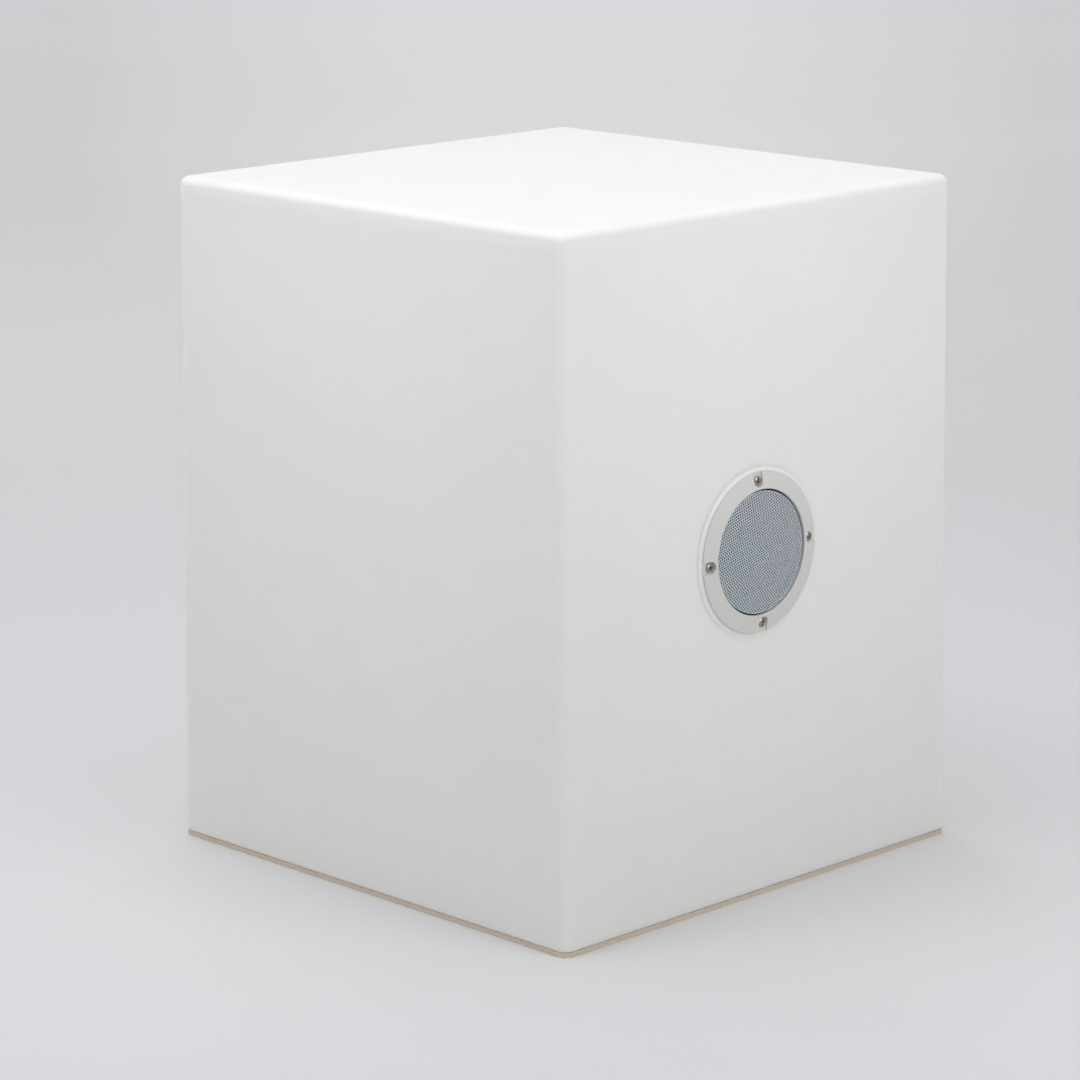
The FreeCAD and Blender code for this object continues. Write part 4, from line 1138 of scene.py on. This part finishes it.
@dataclass
class RingScrews:
    """The four pan-head screws with cross recesses."""

    head: float = 3.4 * MM
    height: float = 1.8 * MM
    side: float = 0.6 * MM
    crown: float = 1.5 * MM
    crown_steps: int = 8
    shank: float = 1.5 * MM
    seat: float = 1.5 * MM
    reach: float = 6.0 * MM
    cross: float = 4.2 * MM
    wing: float = 1.1 * MM
    cross_depth: float = 1.5 * MM
    taper: float = 0.45
    edge: float = 0.05 * MM
    segments: int = 48
    crease: float = 30

    def master(self) -> bpy.types.Object:
        """One screw at the middle of the face, its cross carved out.

        Returns:
            The screw.
        """
        top = self.seat + self.height
        crown = (self.head - self.crown, self.height - self.side)
        section = [
            (self.shank, self.seat - self.reach),
            (self.shank, self.seat),
            (self.head, self.seat),
            *arc((self.crown, self.seat + self.side), crown, 0, 90, self.crown_steps),
        ]
        piece = placed(turned(section, self.segments, ring=False), "cross_screws")
        for turn in (0, QUARTER):
            deep = rectangle(self.cross * self.taper, self.wing * self.taper, top - self.cross_depth)
            wide = rectangle(self.cross, self.wing, top + self.edge)
            wedge = moved(loft((deep, wide)), Matrix.Rotation(turn, 4, "Z"))
            carve(piece, placed(wedge, "wedge"))
        softened(piece, self.edge)
        return piece

    def build(self, wardrobe: Wardrobe, face: SpeakerFace) -> None:
        """Makes one screw and sets a copy of it, turned its own way, in each pocket.

        Args:
            wardrobe: Where the material comes from.
            face: The loudspeaker's frame.
        """
        piece = self.master()
        copies = []
        for i, place in enumerate(face.screw_places()):
            copy = bmesh.new()
            copy.from_mesh(piece.data)
            copies.append(moved(copy, face.matrix @ place @ Matrix.Rotation(face.screw_spin * i, 4, "Z")))
        whole = joined(copies)
        whole.to_mesh(piece.data)
        whole.free()
        smoothed(piece, self.crease)
        hand_over(piece, wardrobe, "ring_screws", Body.BOX)


@dataclass
class Grille:
    """The domed sheet with round holes at their true pitch, its rim, and the black edging round it, whose black is
    painted shade in the gap round the sheet.
    """

    dome: float = 42.95 * MM
    rim: float = 45.8 * MM
    edge: float = 3.0 * MM
    rise: float = 2.56 * MM
    sheet: float = 0.55 * MM
    hem: float = 0.6 * MM
    seat: float = 0.0
    shade_edging: float = 0.8 * MM
    flange: float = 0.6 * MM
    pitch: float = 2.0 * MM
    row_step: float = math.sqrt(0.75)
    spare: float = 1.2
    hole: float = 0.8 * MM
    hole_sides: int = 12
    roll: float = 0.2 * MM
    roll_start: float = 60
    roll_steps: int = 3
    row_turn: float = math.radians(16)
    rim_sides: int = 180
    weld: float = 1e-9
    crease: float = 35
    holes: list[Vector] = field(default_factory=list)

    def height(self, radius: float) -> float:
        """The height of the dome's outside at a radius."""
        curve = (self.dome ** 2 + self.rise ** 2) / (2 * self.rise)
        return self.edge + self.rise - curve + math.sqrt(curve ** 2 - radius ** 2)

    def find_holes(self) -> None:
        """Sets out the holes in staggered rows, up to those that the edge cuts through."""
        reach = self.dome + self.hole / 2
        count = int(reach / self.pitch * self.spare) + 1
        turn = Matrix.Rotation(self.row_turn, 2)
        for row in range(-count, count + 1):
            for column in range(-2 * count, 2 * count + 1):
                place = Vector((column + row / 2, row * self.row_step)) * self.pitch
                if place.length <= reach:
                    self.holes.append(turn @ place)

    def flat(self) -> tuple[list[Vector], list[list[int]]]:
        """The flat pattern of the sheet.

        Returns:
            The points, and the triangles of the metal that the holes leave.
        """
        points: list[Vector] = []
        edges: list[tuple[int, int]] = []
        tree = KDTree(len(self.holes))
        outlines = [(Vector((0, 0)), self.dome, self.rim_sides)]
        outlines += [(place, self.hole, self.hole_sides) for place in self.holes]
        for middle, radius, sides in outlines:
            first = len(points)
            points += [middle + corner.to_2d() for corner in circle(radius, 0, sides)]
            edges += [(first + (i - 1) % sides, first + i) for i in range(sides)]
        for number, place in enumerate(self.holes):
            tree.insert(place.to_3d(), number)
        tree.balance()
        spots, _, faces, _, _, _ = delaunay_2d_cdt(points, edges, [], WHOLE_OUTLINE, self.weld)
        kept = []
        for corners in faces:
            middle = sum((spots[i] for i in corners), Vector((0, 0))) / len(corners)
            nearest = tree.find(middle.to_3d())[0].to_2d()
            metal = not within(middle - nearest, self.hole, self.hole_sides)
            if metal and within(middle, self.dome, self.rim_sides):
                kept.append(corners)
        return spots, kept

    def perforated(self) -> bmesh.types.BMesh:
        """The domed sheet with the walls of its holes.

        Returns:
            A closed mesh.
        """
        spots, faces = self.flat()
        mesh = bmesh.new()
        upper, lower = {}, {}
        for i in sorted({i for corners in faces for i in corners}):
            level = self.height(spots[i].length)
            upper[i] = mesh.verts.new((*spots[i], level))
            lower[i] = mesh.verts.new((*spots[i], level - self.sheet))
        sides = set()
        for corners in faces:
            mesh.faces.new([upper[i] for i in corners])
            mesh.faces.new([lower[i] for i in reversed(corners)])
            sides.update(zip(corners, corners[1:] + corners[:1]))
        for i, j in sides:
            if (j, i) not in sides:
                mesh.faces.new((upper[j], upper[i], lower[i], lower[j]))
        return mesh

    def rim_section(self) -> Profile:
        """The half section of the sheet's rolled edge and its hem.

        Returns:
            Its points.
        """
        fold = self.dome + self.roll
        bend = (self.dome, self.edge - self.roll)
        return [
            (self.dome, self.edge),
            *arc(bend, (self.roll, self.roll), self.roll_start, 0, self.roll_steps),
            (fold, self.edge - self.hem),
            (fold - self.sheet, self.edge - self.hem),
            (fold - self.sheet, self.edge - self.sheet),
        ]

    def shade_edging_section(self) -> Profile:
        """The half section of the black edging that carries the sheet, with the flange that is clamped; its black
        is painted shade in the gap round the sheet.
        """
        fold = self.dome + self.roll
        return [
            (fold, self.edge - self.hem),
            (fold, self.seat),
            (self.rim, self.seat),
            (self.rim, self.seat - self.flange),
            (fold - self.shade_edging, self.seat - self.flange),
            (fold - self.shade_edging, self.edge - self.hem),
        ]

    def build(self, wardrobe: Wardrobe, face: SpeakerFace) -> None:
        """Makes the perforated sheet and its rim as one piece, and the edging, black as painted shade in the gap
        round the sheet.

        Args:
            wardrobe: Where the materials come from.
            face: The loudspeaker's frame.
        """
        self.find_holes()
        mesh = joined((self.perforated(), turned(self.rim_section(), self.rim_sides)))
        bmesh.ops.recalc_face_normals(mesh, faces=mesh.faces)
        piece = placed(mesh, "perforated_grille", face.matrix)
        smoothed(piece, self.crease)
        hand_over(piece, wardrobe, "grille", Body.BOX)
        shade_edging = placed(turned(self.shade_edging_section(), self.rim_sides), "grille_shade_edging", face.matrix)
        smoothed(shade_edging, self.crease)
        # Painted shade: the edging is black rubber so that the gap round the sheet reads as shadow.
        add_on(shade_edging, wardrobe, "surround_rubber", Body.BOX)


@dataclass
class Suspension:
    """The surround and the spider, which flex between the fixed basket and the moving cone."""

    surround_fixed: float = 40.0 * MM
    surround_moving: float = 34.5 * MM
    spider_fixed: float = 24.0 * MM
    spider_moving: float = 15.0 * MM

    def flexing(self, node: str, fixed: float, moving: float, face: SpeakerFace) -> bpy.types.Object:
        """Copies a ring's solid and puts the copy in the scene.

        Args:
            node: The ring's solid.
            fixed: The distance from which it stays with the box; not used.
            moving: The distance up to which it goes with the cone; not used.
            face: The loudspeaker's frame.

        Returns:
            The ring, in its place.
        """
        data = frame["nodes"][node].data.copy()
        piece = added(f"flexing_{node}", data)
        places = [vertex.co.copy() for vertex in data.vertices]
        inwards = face.matrix.inverted()
        for vertex in data.vertices:
            vertex.co = ((inwards @ vertex.co).to_2d().length, 0, 0)
        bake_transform(piece)
        for vertex, place in zip(data.vertices, places):
            vertex.co = place
        data.update()
        return piece

    def build(self, wardrobe: Wardrobe, face: SpeakerFace) -> None:
        """Makes both rings.

        Args:
            wardrobe: Where the materials come from.
            face: The loudspeaker's frame.
        """
        reaches = {
            "surround": (self.surround_fixed, self.surround_moving),
            "spider": (self.spider_fixed, self.spider_moving),
        }
        for node, (fixed, moving) in reaches.items():
            hand_over(self.flexing(node, fixed, moving, face), wardrobe, node, None)


@dataclass(frozen=True)
class PhotoCamera:
    """The camera at the place from which the object is seen."""

    place: Triple = (-1.9664, -1.9623, 0.8791)
    azimuth: float = math.radians(-44.694)
    elevation: float = math.radians(13.282)
    roll: float = math.radians(-0.180)
    sensor: float = 36.0
    lens: float = 130.43

    def build(self) -> None:
        """Makes the camera and gives it to the scene."""
        flat, rise = math.cos(self.elevation), math.sin(self.elevation)
        back = Vector((math.sin(self.azimuth) * flat, -math.cos(self.azimuth) * flat, rise))
        side = Vector((0, 0, 1)).cross(back).normalized()
        up = back.cross(side)
        axes = Matrix((side, up, back)).transposed().to_4x4()
        data = bpy.data.cameras.new("photo_camera")
        data.sensor_width = self.sensor
        data.lens = self.lens
        camera = added("photo_camera", data)
        camera.matrix_world = Matrix.Translation(self.place) @ axes @ Matrix.Rotation(self.roll, 4, "Z")
        bpy.context.scene.camera = camera


@dataclass(frozen=True)
class Softbox:
    """A square soft light that looks at a point."""

    name: str
    place: Triple
    target: Triple
    size: float
    power: float
    tint: Triple = (1.0, 1.0, 1.0)

    def build(self) -> None:
        """Makes the light."""
        data = bpy.data.lights.new(self.name, "AREA")
        data.shape = "SQUARE"
        data.size = self.size
        data.energy = self.power
        data.color = self.tint
        light = added(self.name, data)
        away = Vector(self.place) - Vector(self.target)
        turn = away.to_track_quat("Z", "Y").to_matrix().to_4x4()
        light.matrix_world = Matrix.Translation(self.place) @ turn
        light.visible_camera = False


@dataclass(frozen=True)
class FloorPaper(Finish):
    """Matt paper with a faint cloudiness, painted paler far away and with a painted glow far behind the object."""

    heading: Triple = (math.sqrt(0.5), math.sqrt(0.5), 0.0)
    across: Triple = (math.sqrt(0.5), -math.sqrt(0.5), 0.0)
    cloud: float = 0.4
    shine: float = 0.2
    # Painted glow: the floor emits light far behind the object, in a fan that fades to both sides.
    unlit: Colour = (0.0, 0.0, 0.0, 1.0)
    glow: Colour = (0.085, 0.085, 0.086, 1.0)
    glow_start: float = 2.0
    glow_full: float = 3.6
    fan_foot: float = 2.78
    fan: float = 0.122
    start: float = -0.8
    reach: float = 7.0
    lag: float = 1.2
    coolness: int = 2
    # Painted light: the paper's tone rises with distance, standing in for the light on the far floor.
    painted_light_tones: tuple[tuple[float, int], ...] = (
        (-0.5, 208), (0.0, 214), (0.4, 218), (1.25, 220), (2.7, 234), (3.9, 247), (5.5, 252),
    )

    def painted_glow_share(self, graph: Graph, along: Signal) -> Signal:
        """How much of the painted glow lies on a point: it starts far behind and fades to both sides.

        Args:
            graph: The material's nodes.
            along: How far the point lies behind the object.

        Returns:
            A share from 0 to 1.
        """
        aside = graph.vector("DOT_PRODUCT", graph.place(), self.across)["Value"]
        spread = aside / ((along + self.fan_foot) * self.fan)
        return (1 - spread * spread | 0.0) * along.step(self.glow_start, self.glow_full)

    def tone(self, graph: Graph, along: Signal) -> Signal:
        """The paper's colour, painted paler far away to stand in for the light on the far floor.

        Args:
            graph: The material's nodes.
            along: How far the point lies behind the object.

        Returns:
            The colour.
        """
        away = graph.vector("LENGTH", graph.place())["Value"]
        far = ((along | (away - self.lag)) - self.start) * (1 / self.reach)
        stops = [
            ((place - self.start) / self.reach, paint(tone, tone, tone + self.coolness))
            for place, tone in self.painted_light_tones
        ]
        return graph.node("ShaderNodeValToRGB", {"stops": stops}, {0: far})[0]

    def surface(self, graph: Graph) -> Inputs:
        """Faintly cloudy paper, painted paler far away, with its painted glow.

        Args:
            graph: The material's nodes.

        Returns:
            The shader's inputs.
        """
        clouds = graph.noise(self.cloud)
        along = graph.vector("DOT_PRODUCT", graph.place(), self.heading)["Value"]
        tone = self.tone(graph, along)
        darken = {"data_type": "RGBA", "blend_type": "MULTIPLY"}
        dim = graph.node("ShaderNodeMix", darken, {0: 1.0, 6: tone, 7: self.colour})[2]
        return {
            # The tone carries the painted light, paler far away.
            "Base Color": graph.mix(clouds, dim, tone),
            "Roughness": self.roughness,
            "Specular IOR Level": self.shine,
            # Painted glow: emission on the floor far behind the object.
            "Emission Color": graph.mix(self.painted_glow_share(graph, along), self.unlit, self.glow),
            "Emission Strength": 1.0,
        }


@dataclass(frozen=True)
class Studio:
    """The pale floor, the even light round it and the softboxes."""

    reach: float = 16.0
    floor: FloorPaper = FloorPaper(shade(paint(255, 255, 255), 0.985), 0.9)
    zenith: Colour = (0.820, 0.824, 0.831, 1.0)
    horizon: Colour = (0.265, 0.265, 0.263, 1.0)
    backdrop: Colour = paint(209, 209, 211)
    lights: tuple[Softbox, ...] = (
        Softbox("left_panel", (-0.75, 0.0, 0.6), (-0.2, 0.0, 0.45), 0.4, 1.14),
        Softbox("front_panel", (0.0, -0.75, 0.6), (0.0, -0.2, 0.45), 0.4, 0.97),
        Softbox("front_fill", (-0.1, -1.0, 0.7), (0.0, -0.2, 0.4), 0.6, 1.32),
        Softbox("overhead", (0.0, 0.0, 1.15), (0.0, 0.0, 0.49), 0.9, 2.02, (0.88, 0.9, 1.0)),
        Softbox("rear", (0.4, 1.8, 2.4), (0.0, 0.0, 0.2), 1.8, 12.3),
        Softbox("over_left", (-0.9, 0.3, 2.2), (-0.4, 0.0, 0.0), 0.8, 4.18),
        Softbox("rear_right", (1.9, 1.2, 2.2), (0.6, 0.6, 0.0), 1.5, 2.6),
    )

    def lay_floor(self) -> None:
        """Makes the floor."""
        mesh = bmesh.new()
        mesh.faces.new([mesh.verts.new(corner) for corner in rectangle(2 * self.reach, 2 * self.reach, 0)])
        floor = placed(mesh, "floor")
        floor.data.materials.append(self.floor.material("floor_paper"))
        floor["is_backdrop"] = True

    def light_world(self) -> None:
        """Makes the even light, and the plain backdrop that shows in its place."""
        world = bpy.data.worlds.new("studio")
        world.use_nodes = True
        bpy.context.scene.world = world
        graph = Graph(world.node_tree)
        path = graph.node("ShaderNodeLightPath")
        seen = path["Is Camera Ray"] | path["Is Glossy Ray"] | path["Is Transmission Ray"]
        height = graph.level(graph.node("ShaderNodeTexCoord")["Generated"])
        sky = graph.mix(height, self.horizon, self.zenith)
        even, shown = (
            graph.node("ShaderNodeBackground", None, {"Color": colour, "Strength": 1.0})[0]
            for colour in (sky, self.backdrop)
        )
        both = graph.node("ShaderNodeMixShader", None, {0: seen, 1: even, 2: shown})
        graph.node("ShaderNodeOutputWorld", None, {"Surface": both[0]})

    def build(self) -> None:
        """Makes the floor, the world and the lights."""
        self.lay_floor()
        self.light_world()
        for light in self.lights:
            light.build()
        bpy.context.scene.view_settings.view_transform = "Standard"


def write_sizes() -> None:
    """Works out the box of the solids and of the dressed model; nothing is written."""
    boxes = {"cad": CAD_BOX, "visual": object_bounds()}
    {name: [list(corner) for corner in box] for name, box in boxes.items()}


def main() -> None:
    """Builds the studio, dresses the solids and makes the finer pieces."""
    logging.basicConfig(level=logging.INFO, format="%(message)s")
    PhotoCamera().build()
    Studio().build()
    wardrobe = Wardrobe()
    wardrobe.dress_solids()
    face = SpeakerFace.from_frame()
    Shell().build(wardrobe, face)
    TrimRing().build(wardrobe, face)
    RingScrews().build(wardrobe, face)
    Grille().build(wardrobe, face)
    Suspension().build(wardrobe, face)
    write_sizes()


if __name__ == "__main__":
    main()
